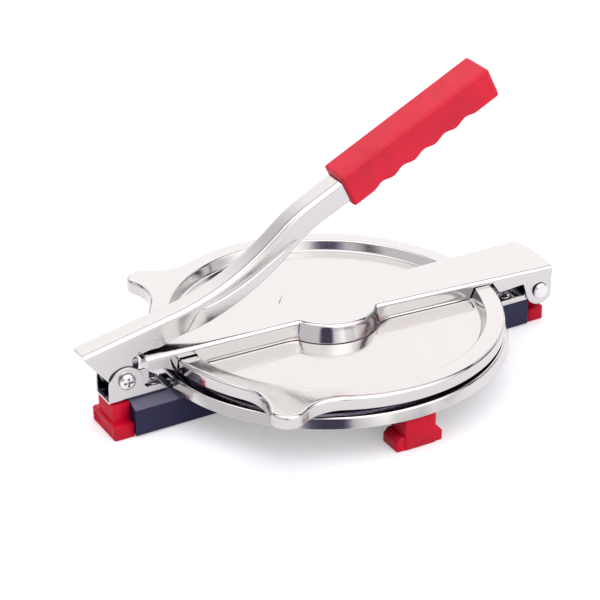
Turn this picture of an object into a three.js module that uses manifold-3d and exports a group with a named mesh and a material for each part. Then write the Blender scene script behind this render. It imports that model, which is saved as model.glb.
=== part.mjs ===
// Puri press: a cross-shaped base on four rubber feet carries a fixed lower plate, a hinged
// upper plate on a channel-shaped arm, and a bent hand lever that presses on the arm's nose.
// X runs along the arm from the lever's pivot to the plate's hinge, Z is up and the ground is
// z = 0. Sizes are in millimetres. Each piece is drawn about the axis of the plates. The upper
// plate and its arm are drawn shut, and their group is then turned about the hinge pin to the
// slightly open pose in which the press stands. Last, the whole press is moved along X so that
// the origin lies on the ground under its middle.
import * as THREE from 'three';
import { mergeVertices } from 'three/addons/utils/BufferGeometryUtils.js';
import Module from 'manifold-3d';

const wasm = await Module();
wasm.setup();

// Shared sizes
const sheet = 1.2;
const seatGap = 0.3;
const sideGap = 0.3;
const boreGap = 0.3;
const overrun = 40;
const plateSegments = 80;
const roundSegments = 24;
const smallSegments = 16;
const outlineSegments = 8;

// Base cross
const barTop = 18;
const barHalfWidth = 15;
const barBevelDrop = 2.6;
const barTopHalfWidth = 8.4;
const barGroundGap = 0.8;
const barReach = 24.8;
const crossInset = 14.4;
const barWall = 3;
const barRoof = 3;
const crossRise = 8.7;
const pocketStart = 21;
const hingeSeatDrop = 2.5;
const hingeSeatLength = 24;

// Rubber feet
const footWidth = 27;
const footHeight = 8;
const footNeckWidth = 18;
const footDepth = 10.9;
const crossFootDepth = 13.9;
const footCorner = 2.5;
const tongueLength = 11;
const tongueWidth = 16;
const tongueHeight = 5;
const tongueBottom = 3.2;
const crossTongueHeight = 3;
const crossTongueBottom = 11.2;

// Lower plate, an upturned pan
const plateLip = 0.7;
const plateStandHeight = 6.7;
const plateHeight = 5.7;
const plateFlare = 2.1;
const plateCorner = 1.2;

// Upper plate, a dish with a hollow rim and two lifting ears
const recessRadius = 83.6;
const rimWidth = 10.1;
const rimHeight = 7;
const rimCorner = 1.8;
const recessWallRun = 2.3;
const shutGap = 0.7;
const earAngle = THREE.MathUtils.degToRad(130.4);
const earStandOut = 11.8;
const earTipRadius = 8.8;
const earFlankRadius = 25;
const earRootInset = 4;
const earRootSpread = THREE.MathUtils.degToRad(1);

// Arm over the upper plate, a channel with a round boss
const armNosePivotGap = 7;
const armNoseChamfer = 3;
const armNoseHalfWidth = 11.6;
const armNoseTipDrop = 1.5;
const armBossRadius = 25.8;
const armRightHalfWidthIn = 14.4;
const armRightHalfWidthOut = 18.7;
const armEndReach = 7.2;
const armEndBulge = 1.7;
const armNoseRise = 6.3;
const armEndRise = 13.2;
const armRimClearance = 0.6;
const armNoseFlangeRise = 5;
const armShoulderRun = 5;

// Hinge of the upper plate
const hingeOverhang = 4.8;
const hingeHeight = 6.1;
const hingePinRadius = 3;
const hingeHeadRadius = 4.5;
const hingeHeadHeight = 2;
const hingeLobeRadius = 8.3;
const hingeSleeveWall = 0.9;
const hingeSideClearance = 1.1;
const hingeBracketLobeRadius = 7.2;
const hingeBracketTail = 25.4;
const hingeBracketLipHeight = 3.8;

// Pivot of the hand lever
const pivotOverhang = 0.8;
const pivotHeight = 11.9;
const pivotShankRadius = 2.5;
const pivotSleeveWall = 1.5;
const pivotHeadRadius = 4.3;
const pivotHeadHeight = 2.6;
const pivotRecessDepth = 1.2;
const pivotRecessWidth = 1.1;
const pivotRecessLength = 4.6;
const pivotNutFlats = 8;
const pivotNutHeight = 4;
const pivotThreadEnd = 1.2;

// Lever bracket, a narrow channel
const leverBracketEndReach = 9.8;
const leverBracketTail = 22.6;
const leverLobeRadius = 9.7;
const leverLobeDrop = 2.5;
const leverBracketLipHeight = 4.7;
const leverBracketTaper = 4;
const leverBracketFillet = 4;

// Hand lever, an upturned channel bent in an S
const leverHalfWidth = 6.6;
const leverTailReach = 21.8;
const leverTailRise = 18.6;
const leverRootLength = 52.9;
const leverRootAngle = THREE.MathUtils.degToRad(11.5);
const leverFirstBend = 125;
const leverSteepAngle = THREE.MathUtils.degToRad(39);
const leverSteepLength = 10;
const leverSecondBend = 88;
const leverGripAngle = THREE.MathUtils.degToRad(26);
const leverNeckLength = 18;
const leverFlangeDepth = 12.8;
const leverHeelRadius = 9;
const leverJawReach = 4.5;
const leverJawDrop = 0.8;
const leverRoofReach = 14;
const leverRoofRise = 2.5;
const leverContactReach = 19.5;
const leverContactRise = 2.5;
const leverCamRadius = 13.2;
const leverCamHeight = 3.4;
const leverCamDrop = 5.4;

// Grip
const gripLength = 97.2;
const gripMouthHeight = 19.5;
const gripEndHeight = 17.6;
const gripMouthHalfWidth = 8.9;
const gripEndHalfWidth = 9.6;
const gripWebCover = 3.5;
const gripCorner = 2.6;
const gripEndWall = 17.2;
const gripScallopOffset = 19.6;
const gripScallopEndGap = 22;
const gripScallopDepth = 1.4;
const gripScallopCount = 5;

// Screws and bosses that hold the plates and brackets to the base
const screwRadius = 1.9;
const screwHeadRadius = 3.5;
const screwHeadHeight = 2;
const screwLength = 7;
const screwTipGap = 0.8;
const bossRadius = 5;
const bossInset = 25;
const leverBracketScrewReach = 7;
const leverBracketScrewPitch = 10.5;
const hingeBracketScrewReach = 17;
const hingeBracketScrewInset = 7.4;

// The pose in which the press stands
const restOpening = THREE.MathUtils.degToRad(1);

// Places that follow from the sizes above
const rimRadius = recessRadius + rimWidth;
const plateRadius = rimRadius + plateLip;
const earReach = rimRadius + earStandOut;
const plateTop = barTop + plateStandHeight;
const barHalfLength = plateRadius + barReach;
const crossHalfLength = plateRadius - crossInset;
const bossReach = crossHalfLength - bossInset;
const hingeX = barHalfLength + hingeOverhang;
const pivotX = -(barHalfLength + pivotOverhang);
const pivotZ = barTop + pivotHeight;
const armNoseX = pivotX + armNosePivotGap;
const armEndX = hingeX + armEndReach;
const hingeBracketStart = hingeX - hingeBracketTail;
const hingeBracketScrewX = hingeX - hingeBracketScrewReach;
const leverBracketEndX = pivotX - leverBracketEndReach;
const leverBracketInnerX = pivotX + leverBracketTail;
const leverTailX = pivotX - leverTailReach;
const leverTailZ = pivotZ + leverTailRise;
const leverJawX = pivotX + leverJawReach;
const leverRoofX = pivotX + leverRoofReach;
const leverContactX = pivotX + leverContactReach;
const leverTongueLength = gripLength - gripEndWall;
const firstBracketScrewX = pivotX + leverBracketScrewReach;
const leverBracketScrews = [firstBracketScrewX, firstBracketScrewX + leverBracketScrewPitch];

// Heights and widths that follow
const plateSkirtBottom = plateTop - plateHeight;
const upperPlateBottom = plateTop + shutGap;
const rimTop = upperPlateBottom + rimHeight;
const dishFloor = upperPlateBottom + sheet;
const floorRadius = recessRadius - recessWallRun;
const hingeSeatTop = barTop - hingeSeatDrop;
const hingeZ = hingeSeatTop + hingeHeight;
const armWebHeightNose = rimTop + armNoseRise;
const armWebHeightEnd = hingeZ + armEndRise;
const armInnerHalfWidth = armRightHalfWidthOut - sheet;
const hingeBracketHalfWidth = armInnerHalfWidth - hingeSideClearance;
const hingeBracketScrewY = hingeBracketHalfWidth - hingeBracketScrewInset;
const leverBracketHalfWidth = leverHalfWidth + sideGap + sheet;
const webSlope = (armWebHeightNose - armWebHeightEnd) / (armEndX - armNoseX);
const webTopAt = (x) => armWebHeightNose - (x - armNoseX) * webSlope;

// Materials
const steel = () => new THREE.MeshStandardMaterial({ color: 0xd9d9dc, roughness: 0.18, metalness: 1 });
const navyPlastic = () => new THREE.MeshStandardMaterial({ color: 0x25284a, roughness: 0.45, metalness: 0 });
const redPlastic = () => new THREE.MeshStandardMaterial({ color: 0xd2263c, roughness: 0.4, metalness: 0 });

const press = new THREE.Group();
const upperGroup = new THREE.Group();
press.add(upperGroup);

// Turns a closed three.js geometry into a solid that can be cut and joined.
function solid(geometry) {
  const bare = geometry.clone();
  bare.deleteAttribute('normal');
  bare.deleteAttribute('uv');
  const merged = mergeVertices(bare, 1e-5);
  const vertProperties = new Float32Array(merged.attributes.position.array);
  const triVerts = new Uint32Array(merged.index.array);
  return new wasm.Manifold(new wasm.Mesh({ numProp: 3, vertProperties, triVerts }));
}

// Gives a solid's surface back as a geometry.
function surface(body) {
  const mesh = body.getMesh();
  const geometry = new THREE.BufferGeometry();
  geometry.setAttribute('position', new THREE.BufferAttribute(new Float32Array(mesh.vertProperties), 3));
  geometry.setIndex(new THREE.BufferAttribute(new Uint32Array(mesh.triVerts), 1));
  geometry.computeVertexNormals();
  return geometry;
}

function addPiece(name, body, material, group = press) {
  const mesh = new THREE.Mesh(surface(body), material);
  mesh.name = name;
  group.add(mesh);
}

const union = (...bodies) => bodies.reduce((sum, body) => sum.add(body));
const cut = (body, ...tools) => tools.reduce((rest, tool) => rest.subtract(tool), body);

// A closed outline from corner points.
function outline(points) {
  const shape = new THREE.Shape();
  points.forEach(([x, y], index) => (index ? shape.lineTo(x, y) : shape.moveTo(x, y)));
  shape.closePath();
  return shape;
}

// A plan outline raised from one height to another.
function standing(shape, low, high) {
  const options = { depth: high - low, bevelEnabled: false, curveSegments: outlineSegments };
  return solid(new THREE.ExtrudeGeometry(shape, options).translate(0, 0, low));
}

// A side outline, drawn in X and Z, spread to both sides of the X axis.
function spread(shape, halfWidth) {
  const options = { depth: 2 * halfWidth, bevelEnabled: false, curveSegments: outlineSegments };
  const geometry = new THREE.ExtrudeGeometry(shape, options);
  return solid(geometry.rotateX(Math.PI / 2).translate(0, halfWidth, 0));
}

// An end outline, drawn in Y and Z, carried along X.
function along(shape, from, to) {
  const geometry = new THREE.ExtrudeGeometry(shape, { depth: to - from, bevelEnabled: false });
  return solid(geometry.rotateX(Math.PI / 2).rotateZ(Math.PI / 2).translate(from, 0, 0));
}

function block(lowX, highX, lowY, highY, lowZ, highZ) {
  const geometry = new THREE.BoxGeometry(highX - lowX, highY - lowY, highZ - lowZ);
  return solid(geometry.translate((lowX + highX) / 2, (lowY + highY) / 2, (lowZ + highZ) / 2));
}

// A turned body about the Z axis, from points of radius and height.
function turned(points, segments) {
  const profile = points.map(([radius, height]) => new THREE.Vector2(radius, height));
  return solid(new THREE.LatheGeometry(profile, segments).rotateX(Math.PI / 2));
}

// A round bar or bore across the press, along Y.
function crossRound(x, z, radius, lowY, highY, segments = smallSegments) {
  const geometry = new THREE.CylinderGeometry(radius, radius, highY - lowY, segments);
  return solid(geometry.translate(x, (lowY + highY) / 2, z));
}

function uprightRound(x, y, radius, low, high, segments = smallSegments) {
  const geometry = new THREE.CylinderGeometry(radius, radius, high - low, segments);
  return solid(geometry.rotateX(Math.PI / 2).translate(x, y, (low + high) / 2));
}

// Base cross: two bevelled bars, hollow from below, with pockets for the feet's tongues.
// The underside of the short bar rises toward both of its ends.
function baseFrame() {
  const half = outline([
    [-barHalfWidth, barGroundGap],
    [barHalfWidth, barGroundGap],
    [barHalfWidth, barTop - barBevelDrop],
    [barTopHalfWidth, barTop],
    [-barTopHalfWidth, barTop],
    [-barHalfWidth, barTop - barBevelDrop],
  ]);
  const longBar = along(half, -barHalfLength, barHalfLength);
  const shortBar = along(half, -crossHalfLength, crossHalfLength);
  const underEnds = [-1, 1].map((side) => spread(outline([
    [side * barHalfWidth, barGroundGap],
    [side * crossHalfLength, barGroundGap + crossRise],
    [side * (crossHalfLength + overrun), barGroundGap + crossRise],
    [side * (crossHalfLength + overrun), -overrun],
    [side * barHalfWidth, -overrun],
  ]), overrun));
  let frame = union(longBar, cut(shortBar, ...underEnds).rotate([0, 0, 90]));
  const seatEdge = barHalfLength - hingeSeatLength;
  frame = cut(frame, block(seatEdge, barHalfLength + overrun, -overrun, overrun, hingeSeatTop, barTop + overrun));
  const reach = [barHalfLength, crossHalfLength, barHalfLength, crossHalfLength];
  reach.forEach((end, turn) => {
    const inner = barHalfWidth - barWall;
    const solidEnd = turn % 2 ? tongueLength + seatGap + barWall : hingeSeatLength + barWall;
    const hollow = block(pocketStart, end - solidEnd, -inner, inner, -overrun, barTop - barRoof);
    const slotWidth = tongueWidth / 2 + seatGap;
    const [tongueLow, tongueTop] = tongueSpan(turn % 2);
    const slotTop = tongueTop + seatGap;
    const slotLow = tongueLow - seatGap;
    const slot = block(end - tongueLength - seatGap, end + overrun, -slotWidth, slotWidth, slotLow, slotTop);
    const hole = uprightRound(bossReach, 0, screwRadius + boreGap, -overrun, barTop + overrun);
    frame = cut(frame, hollow.rotate([0, 0, 90 * turn]), slot.rotate([0, 0, 90 * turn]));
    frame = cut(frame, hole.rotate([0, 0, 90 * turn]));
  });
  for (const x of leverBracketScrews) {
    frame = cut(frame, uprightRound(x, 0, screwRadius + boreGap, barTop - screwLength - screwTipGap, barTop + overrun));
  }
  for (const side of [-1, 1]) {
    const low = hingeSeatTop - screwLength - screwTipGap;
    const y = side * hingeBracketScrewY;
    frame = cut(frame, uprightRound(hingeBracketScrewX, y, screwRadius + boreGap, low, barTop + overrun));
  }
  return frame;
}

// Lowest and highest level of a foot's tongue, which sits higher in the rising short bar.
function tongueSpan(isCross) {
  const low = isCross ? crossTongueBottom : tongueBottom;
  return [low, low + (isCross ? crossTongueHeight : tongueHeight)];
}

// One foot, facing out along X from the end of its bar.
function foot(barEnd, depth, seat, isCross) {
  const start = barEnd + seatGap;
  const plan = (width) => {
    const shape = new THREE.Shape();
    const half = width / 2;
    const end = start + depth;
    shape.moveTo(start, -half);
    shape.lineTo(end - footCorner, -half);
    shape.absarc(end - footCorner, -half + footCorner, footCorner, -Math.PI / 2, 0);
    shape.absarc(end - footCorner, half - footCorner, footCorner, 0, Math.PI / 2);
    shape.lineTo(start, half);
    shape.closePath();
    return shape;
  };
  const [tongueLow, tongueTop] = tongueSpan(isCross);
  const tongueStart = barEnd - tongueLength;
  const tongueEnd = start + footCorner;
  return union(
    standing(plan(footWidth), 0, footHeight),
    standing(plan(footNeckWidth), 0, seat - seatGap),
    block(tongueStart, tongueEnd, -tongueWidth / 2, tongueWidth / 2, tongueLow, tongueTop),
  );
}

// Lower plate: flat top, small rounded edge and a flaring skirt.
function bottomPlate() {
  const chamfer = plateCorner * (1 - Math.SQRT1_2);
  const skirtRadius = plateRadius + plateFlare;
  return turned([
    [0, plateTop - sheet],
    [plateRadius - sheet, plateTop - sheet],
    [skirtRadius - sheet, plateSkirtBottom],
    [skirtRadius, plateSkirtBottom],
    [plateRadius, plateTop - plateCorner],
    [plateRadius - chamfer, plateTop - chamfer],
    [plateRadius - plateCorner, plateTop],
    [0, plateTop],
  ], plateSegments);
}

// Outline of one lifting ear, drawn along +X: two hollow flanks round to the tip.
// With an inset it is the ear's inside, one sheet thickness in from the edge.
function earOutline(inset) {
  const rim = rimRadius - inset;
  const tip = earTipRadius - inset;
  const flank = earFlankRadius + inset;
  const far = rimRadius + earFlankRadius;
  const near = earTipRadius + earFlankRadius;
  const turn = Math.acos((far * far + earReach * earReach - near * near) / (2 * far * earReach));
  const flankX = far * Math.cos(turn);
  const flankY = far * Math.sin(turn);
  const lean = Math.atan2(flankY, earReach - flankX);
  const root = rim - earRootInset;
  const shape = new THREE.Shape();
  shape.absarc(0, 0, root, turn + earRootSpread, -turn - earRootSpread, true);
  shape.absarc(flankX, -flankY, flank, Math.PI - turn, lean, true);
  shape.absarc(earReach, 0, tip, Math.PI + lean, Math.PI - lean, false);
  shape.absarc(flankX, flankY, flank, -lean, turn - Math.PI, true);
  shape.closePath();
  return shape;
}

// Upper plate: a flat floor, a hollow rim round it and the two ears.
function topPlate() {
  const wallTop = rimTop - sheet;
  const chamfer = rimCorner * (1 - Math.SQRT1_2);
  let plate = turned([
    [0, upperPlateBottom],
    [floorRadius + sheet, upperPlateBottom],
    [recessRadius + sheet, wallTop],
    [rimRadius - rimCorner, wallTop],
    [rimRadius - sheet, rimTop - rimCorner],
    [rimRadius - sheet, upperPlateBottom],
    [rimRadius, upperPlateBottom],
    [rimRadius, rimTop - rimCorner],
    [rimRadius - chamfer, rimTop - chamfer],
    [rimRadius - rimCorner, rimTop],
    [recessRadius, rimTop],
    [floorRadius, dishFloor],
    [0, dishFloor],
  ], plateSegments);
  for (const side of [-1, 1]) {
    const bearing = THREE.MathUtils.radToDeg(side * earAngle);
    const ear = standing(earOutline(0), upperPlateBottom, rimTop).rotate([0, 0, bearing]);
    const hollow = standing(earOutline(sheet), upperPlateBottom - overrun, wallTop).rotate([0, 0, bearing]);
    plate = cut(union(plate, ear), hollow);
  }
  return plate;
}

// Plan of the arm, brought in by an inset: nose, round boss, widening stretch and bowed end.
function armOutline(inset) {
  const noseHalf = armNoseHalfWidth - inset;
  const boss = armBossRadius - inset;
  const rightIn = armRightHalfWidthIn - inset;
  const rightOut = armRightHalfWidthOut - inset;
  const endX = armEndX - inset;
  const noseX = armNoseX + inset;
  const noseAngle = Math.PI - Math.asin(noseHalf / boss);
  const rightAngle = Math.asin(rightIn / boss);
  const shape = new THREE.Shape();
  shape.moveTo(noseX, -(noseHalf - armNoseChamfer));
  shape.lineTo(noseX + armNoseChamfer, -noseHalf);
  shape.absarc(0, 0, boss, -noseAngle, -rightAngle, false);
  shape.lineTo(endX, -rightOut);
  shape.quadraticCurveTo(endX + 2 * armEndBulge, 0, endX, rightOut);
  shape.absarc(0, 0, boss, rightAngle, noseAngle, false);
  shape.lineTo(noseX + armNoseChamfer, noseHalf);
  shape.lineTo(noseX, noseHalf - armNoseChamfer);
  shape.closePath();
  return shape;
}

// Side of the arm: sloping web, flanges that clear the rim and lobes round the hinge pin.
function armSide() {
  const far = armEndX + overrun;
  const flange = dishFloor + seatGap;
  const overRim = rimTop + armRimClearance;
  const noseFlange = rimTop - armNoseFlangeRise;
  const outside = Math.sqrt(rimRadius ** 2 - armNoseHalfWidth ** 2) + armRimClearance;
  const outsideRight = Math.sqrt(rimRadius ** 2 - armRightHalfWidthIn ** 2) + armRimClearance;
  const inside = Math.sqrt(floorRadius ** 2 - armRightHalfWidthOut ** 2) - armRimClearance;
  const shape = new THREE.Shape();
  shape.moveTo(armNoseX + armNoseTipDrop, webTopAt(armNoseX + armNoseTipDrop));
  shape.lineTo(armNoseX, webTopAt(armNoseX) - armNoseTipDrop);
  shape.lineTo(armNoseX - overrun, webTopAt(armNoseX) - armNoseTipDrop);
  shape.lineTo(armNoseX - overrun, webTopAt(armNoseX) - armNoseFlangeRise);
  shape.lineTo(armNoseX + armNoseChamfer, webTopAt(armNoseX) - armNoseFlangeRise - sheet);
  shape.lineTo(-outside - sheet, noseFlange);
  shape.lineTo(-outside, noseFlange);
  shape.lineTo(-outside, overRim);
  shape.lineTo(-inside, overRim);
  shape.lineTo(-inside, flange);
  shape.lineTo(inside, flange);
  shape.lineTo(inside, overRim);
  shape.lineTo(outsideRight, overRim);
  shape.lineTo(outsideRight + armShoulderRun, flange);
  shape.lineTo(hingeX - hingeLobeRadius - sheet, flange);
  shape.lineTo(hingeX - hingeLobeRadius, flange - sheet);
  shape.absarc(hingeX, hingeZ, hingeLobeRadius, Math.PI, 2 * Math.PI, false);
  shape.lineTo(far, hingeZ);
  shape.lineTo(far, webTopAt(far));
  shape.closePath();
  return shape;
}

function topArm() {
  const deep = -overrun;
  const tall = armWebHeightNose + overrun;
  const body = standing(armOutline(0), deep, tall).intersect(spread(armSide(), overrun));
  const under = outline([
    [armNoseX - overrun, webTopAt(armNoseX) - armNoseTipDrop - sheet],
    [armNoseX - overrun, deep],
    [armEndX + overrun, deep],
    [armEndX + overrun, webTopAt(armEndX + overrun) - sheet],
    [armNoseX + armNoseTipDrop, webTopAt(armNoseX + armNoseTipDrop) - sheet],
    [armNoseX, webTopAt(armNoseX) - armNoseTipDrop - sheet],
  ]);
  const hollow = standing(armOutline(sheet), deep, tall).intersect(spread(under, overrun));
  const noseRoof = webTopAt(armNoseX) - armNoseTipDrop - sheet;
  const endRoof = webTopAt(armEndX + armEndBulge) - sheet;
  const openNose = block(armNoseX - overrun, armNoseX + armNoseChamfer, -overrun, overrun, deep, noseRoof);
  const openEnd = block(armEndX - sheet, armEndX + overrun, -armInnerHalfWidth, armInnerHalfWidth, deep, endRoof);
  const bore = crossRound(hingeX, hingeZ, hingePinRadius + boreGap, -overrun, overrun);
  return cut(body, hollow, openNose, openEnd, bore);
}

// Hinge bracket: a wide channel with a low lip that rises to a lobe round the pin.
function hingeBracket() {
  const low = hingeSeatTop + seatGap;
  const end = hingeX + hingeBracketLobeRadius;
  const lip = low + hingeBracketLipHeight;
  const rise = hingeX - hingeBracketLobeRadius;
  const shape = new THREE.Shape();
  shape.moveTo(hingeBracketStart, low);
  shape.lineTo(end, low);
  shape.lineTo(end, hingeZ);
  shape.absarc(hingeX, hingeZ, hingeBracketLobeRadius, 0, Math.PI, false);
  shape.quadraticCurveTo(rise, lip, rise - hingeBracketLipHeight, lip);
  shape.lineTo(hingeBracketStart, lip);
  shape.closePath();
  const inner = hingeBracketHalfWidth - sheet;
  const hollow = block(hingeBracketStart - overrun, end + overrun, -inner, inner, low + sheet, hingeZ + overrun);
  const bore = crossRound(hingeX, hingeZ, hingePinRadius + boreGap, -overrun, overrun);
  let bracket = cut(spread(shape, hingeBracketHalfWidth), hollow, bore);
  for (const side of [-1, 1]) {
    const y = side * hingeBracketScrewY;
    bracket = cut(bracket, uprightRound(hingeBracketScrewX, y, screwRadius + boreGap, low - overrun, low + overrun));
  }
  return bracket;
}

// Lever bracket: a narrow channel with tall lobes at the pivot and a tapered inner end.
function leverBracket() {
  const low = barTop + seatGap;
  const lip = low + leverBracketLipHeight;
  const lobeZ = pivotZ - leverLobeDrop;
  const right = pivotX + leverLobeRadius;
  const shape = new THREE.Shape();
  shape.moveTo(leverBracketEndX, low);
  shape.lineTo(leverBracketInnerX, low);
  shape.lineTo(leverBracketInnerX - leverBracketTaper, lip);
  shape.lineTo(right + leverBracketFillet, lip);
  shape.quadraticCurveTo(right, lip, right, lobeZ);
  shape.absarc(pivotX, lobeZ, leverLobeRadius, 0, Math.PI, false);
  shape.lineTo(leverBracketEndX, low);
  const inner = leverBracketHalfWidth - sheet;
  const far = leverBracketInnerX + overrun;
  const hollow = block(leverBracketEndX - overrun, far, -inner, inner, low + sheet, pivotZ + overrun);
  const bore = crossRound(pivotX, pivotZ, pivotShankRadius + boreGap, -overrun, overrun);
  let bracket = cut(spread(shape, leverBracketHalfWidth), hollow, bore);
  for (const x of leverBracketScrews) {
    bracket = cut(bracket, uprightRound(x, 0, screwRadius + boreGap, low - overrun, low + overrun));
  }
  return bracket;
}

// The lever's upper edge as points with their directions: straight root, upward bend, steep
// stretch, easing bend and straight neck, which runs on as a tongue inside the grip.
function leverPath() {
  const steps = 8;
  const points = [];
  let x = leverTailX;
  let z = leverTailZ;
  const straight = (length, angle) => {
    x += length * Math.cos(angle);
    z += length * Math.sin(angle);
    points.push({ x, z, angle });
  };
  const bend = (radius, from, to) => {
    const step = (to - from) / steps;
    const chord = 2 * radius * Math.sin(Math.abs(step) / 2);
    for (let i = 0; i < steps; i += 1) {
      const angle = from + step * (i + 0.5);
      x += chord * Math.cos(angle);
      z += chord * Math.sin(angle);
      points.push({ x, z, angle: from + step * (i + 1) });
    }
  };
  points.push({ x, z, angle: leverRootAngle });
  straight(leverRootLength, leverRootAngle);
  bend(leverFirstBend, leverRootAngle, leverSteepAngle);
  straight(leverSteepLength, leverSteepAngle);
  bend(leverSecondBend, leverSteepAngle, leverGripAngle);
  straight(leverNeckLength, leverGripAngle);
  const mouth = points.length - 1;
  straight(leverTongueLength, leverGripAngle);
  return { points, mouth };
}

const beside = (point, depth) => [
  point.x + depth * Math.sin(point.angle),
  point.z - depth * Math.cos(point.angle),
];

// Height of the arm's web, as it stands, above a place under the lever.
function restingWebAt(x) {
  const slope = webSlope + Math.tan(restOpening);
  const pinToWeb = webTopAt(hingeX) - hingeZ;
  const lift = pinToWeb / Math.cos(restOpening);
  return hingeZ + lift + (hingeX - x) * slope;
}

// Lever: deep flanges round the pivot with a jaw for the arm's nose, then an even channel.
function lever() {
  const { points } = leverPath();
  const [tail, ...run] = points;
  const corner = [pivotX - leverHeelRadius, pivotZ];
  const camAngle = Math.asin(leverCamHeight / leverCamRadius);
  const heelAngle = -Math.asin(leverCamDrop / leverCamRadius);
  const arcSteps = 6;
  const contour = [[tail.x, tail.z]];
  run.forEach((point) => contour.push([point.x, point.z]));
  [...run].reverse().forEach((point) => contour.push(beside(point, leverFlangeDepth)));
  contour.push([leverContactX, restingWebAt(leverContactX) + leverContactRise]);
  contour.push([leverRoofX, restingWebAt(leverRoofX) + leverRoofRise]);
  contour.push([leverJawX, restingWebAt(leverJawX) - leverJawDrop]);
  contour.push([leverJawX, pivotZ + leverCamHeight]);
  for (let i = 0; i <= arcSteps; i += 1) {
    const angle = camAngle + ((heelAngle - camAngle) * i) / arcSteps;
    contour.push([pivotX + leverCamRadius * Math.cos(angle), pivotZ + leverCamRadius * Math.sin(angle)]);
  }
  for (let i = 0; i <= arcSteps; i += 1) {
    const angle = -Math.PI / 3 - ((2 * Math.PI) / 3) * (i / arcSteps);
    contour.push([pivotX + leverHeelRadius * Math.cos(angle), pivotZ + leverHeelRadius * Math.sin(angle)]);
  }
  contour.push(corner);
  const web = points.map((point) => beside(point, sheet));
  const last = points[points.length - 1];
  const under = [...web];
  under.push(beside(last, leverFlangeDepth + overrun));
  under.push([last.x, -overrun]);
  under.push([leverTailX - overrun, -overrun]);
  under.push([leverTailX - overrun, leverTailZ - sheet - overrun * Math.tan(leverRootAngle)]);
  const body = spread(outline(contour), leverHalfWidth);
  const hollow = spread(outline(under), leverHalfWidth - sheet);
  const bore = crossRound(pivotX, pivotZ, pivotShankRadius + pivotSleeveWall + 2 * boreGap, -overrun, overrun);
  return cut(body, hollow, bore);
}

// Grip: a tapered block with cut corners and finger scallops, hollow for the lever's tongue.
function grip() {
  const { points, mouth } = leverPath();
  const start = points[mouth];
  const scallopPitch = (gripLength - gripScallopOffset - gripScallopEndGap) / (gripScallopCount - 1);
  const scallop = (index) => gripScallopOffset + index * scallopPitch;
  const depthAt = (s) => gripMouthHeight + ((gripEndHeight - gripMouthHeight) * s) / gripLength;
  const side = new THREE.Shape();
  side.moveTo(gripCorner, 0);
  side.lineTo(gripLength - gripCorner, 0);
  side.lineTo(gripLength, -gripCorner);
  side.lineTo(gripLength, -gripEndHeight + gripCorner);
  side.lineTo(gripLength - gripCorner, -gripEndHeight);
  for (let i = gripScallopCount - 1; i >= 0; i -= 1) {
    const s = scallop(i);
    const half = scallopPitch / 2;
    side.lineTo(s + half, -depthAt(s + half));
    side.quadraticCurveTo(s, -depthAt(s) + 2 * gripScallopDepth, s - half, -depthAt(s - half));
  }
  side.lineTo(gripCorner, -gripMouthHeight);
  side.lineTo(0, -gripMouthHeight + gripCorner);
  side.lineTo(0, -gripCorner);
  side.closePath();
  const plan = outline([
    [0, -gripMouthHalfWidth],
    [gripLength - gripCorner, -gripEndHalfWidth],
    [gripLength, -gripEndHalfWidth + gripCorner],
    [gripLength, gripEndHalfWidth - gripCorner],
    [gripLength - gripCorner, gripEndHalfWidth],
    [0, gripMouthHalfWidth],
  ]);
  const body = spread(side, overrun).intersect(standing(plan, -overrun, overrun));
  const slotHalf = leverHalfWidth + sideGap;
  const slotTop = seatGap - gripWebCover;
  const slotLow = -gripWebCover - leverFlangeDepth - seatGap;
  const slot = block(-overrun, leverTongueLength + seatGap, -slotHalf, slotHalf, slotLow, slotTop);
  const turn = THREE.MathUtils.radToDeg(leverGripAngle);
  const mouthX = start.x - gripWebCover * Math.sin(start.angle);
  const mouthZ = start.z + gripWebCover * Math.cos(start.angle);
  return cut(body, slot).rotate([0, -turn, 0]).translate([mouthX, 0, mouthZ]);
}

// A pan-head screw standing on its axis, head up, from the underside of its head.
function screw(length) {
  const dome = screwHeadHeight / 2;
  return turned([
    [0, -length],
    [screwRadius, -length],
    [screwRadius, 0],
    [screwHeadRadius, 0],
    [screwHeadRadius, dome],
    [screwHeadRadius - dome, screwHeadHeight],
    [0, screwHeadHeight],
  ], smallSegments);
}

// Hinge rivet: a plain shank with a low domed head at each end.
function hingePin() {
  const half = armRightHalfWidthOut + seatGap;
  const top = half + hingeHeadHeight;
  const crown = hingeHeadHeight / 2;
  const pin = turned([
    [0, -top],
    [hingeHeadRadius - crown, -top],
    [hingeHeadRadius, -half - crown],
    [hingeHeadRadius, -half],
    [hingePinRadius, -half],
    [hingePinRadius, half],
    [hingeHeadRadius, half],
    [hingeHeadRadius, half + crown],
    [hingeHeadRadius - crown, top],
    [0, top],
  ], roundSegments);
  return pin.rotate([90, 0, 0]).translate([hingeX, 0, hingeZ]);
}

// A plain tube across the press.
function crossTube(x, z, inner, outer, half) {
  const body = crossRound(x, z, outer, -half, half);
  return cut(body, crossRound(x, z, inner, -half - overrun, half + overrun));
}

// Pivot screw: pan head with a cross recess at the front, thread end past the nut behind.
function pivotScrew() {
  const front = leverBracketHalfWidth + seatGap;
  const back = front + pivotNutHeight + pivotThreadEnd;
  const crown = pivotHeadHeight / 2;
  const body = turned([
    [0, -back],
    [pivotShankRadius, -back],
    [pivotShankRadius, front],
    [pivotHeadRadius, front],
    [pivotHeadRadius, front + crown],
    [pivotHeadRadius - crown, front + pivotHeadHeight],
    [0, front + pivotHeadHeight],
  ], smallSegments);
  const top = front + pivotHeadHeight;
  const low = top - pivotRecessDepth;
  const reach = pivotRecessLength / 2;
  const slim = pivotRecessWidth / 2;
  const recess = union(
    block(-reach, reach, -slim, slim, low, top + overrun),
    block(-slim, slim, -reach, reach, low, top + overrun),
  );
  return cut(body, recess).rotate([90, 0, 0]).translate([pivotX, 0, pivotZ]);
}

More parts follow.
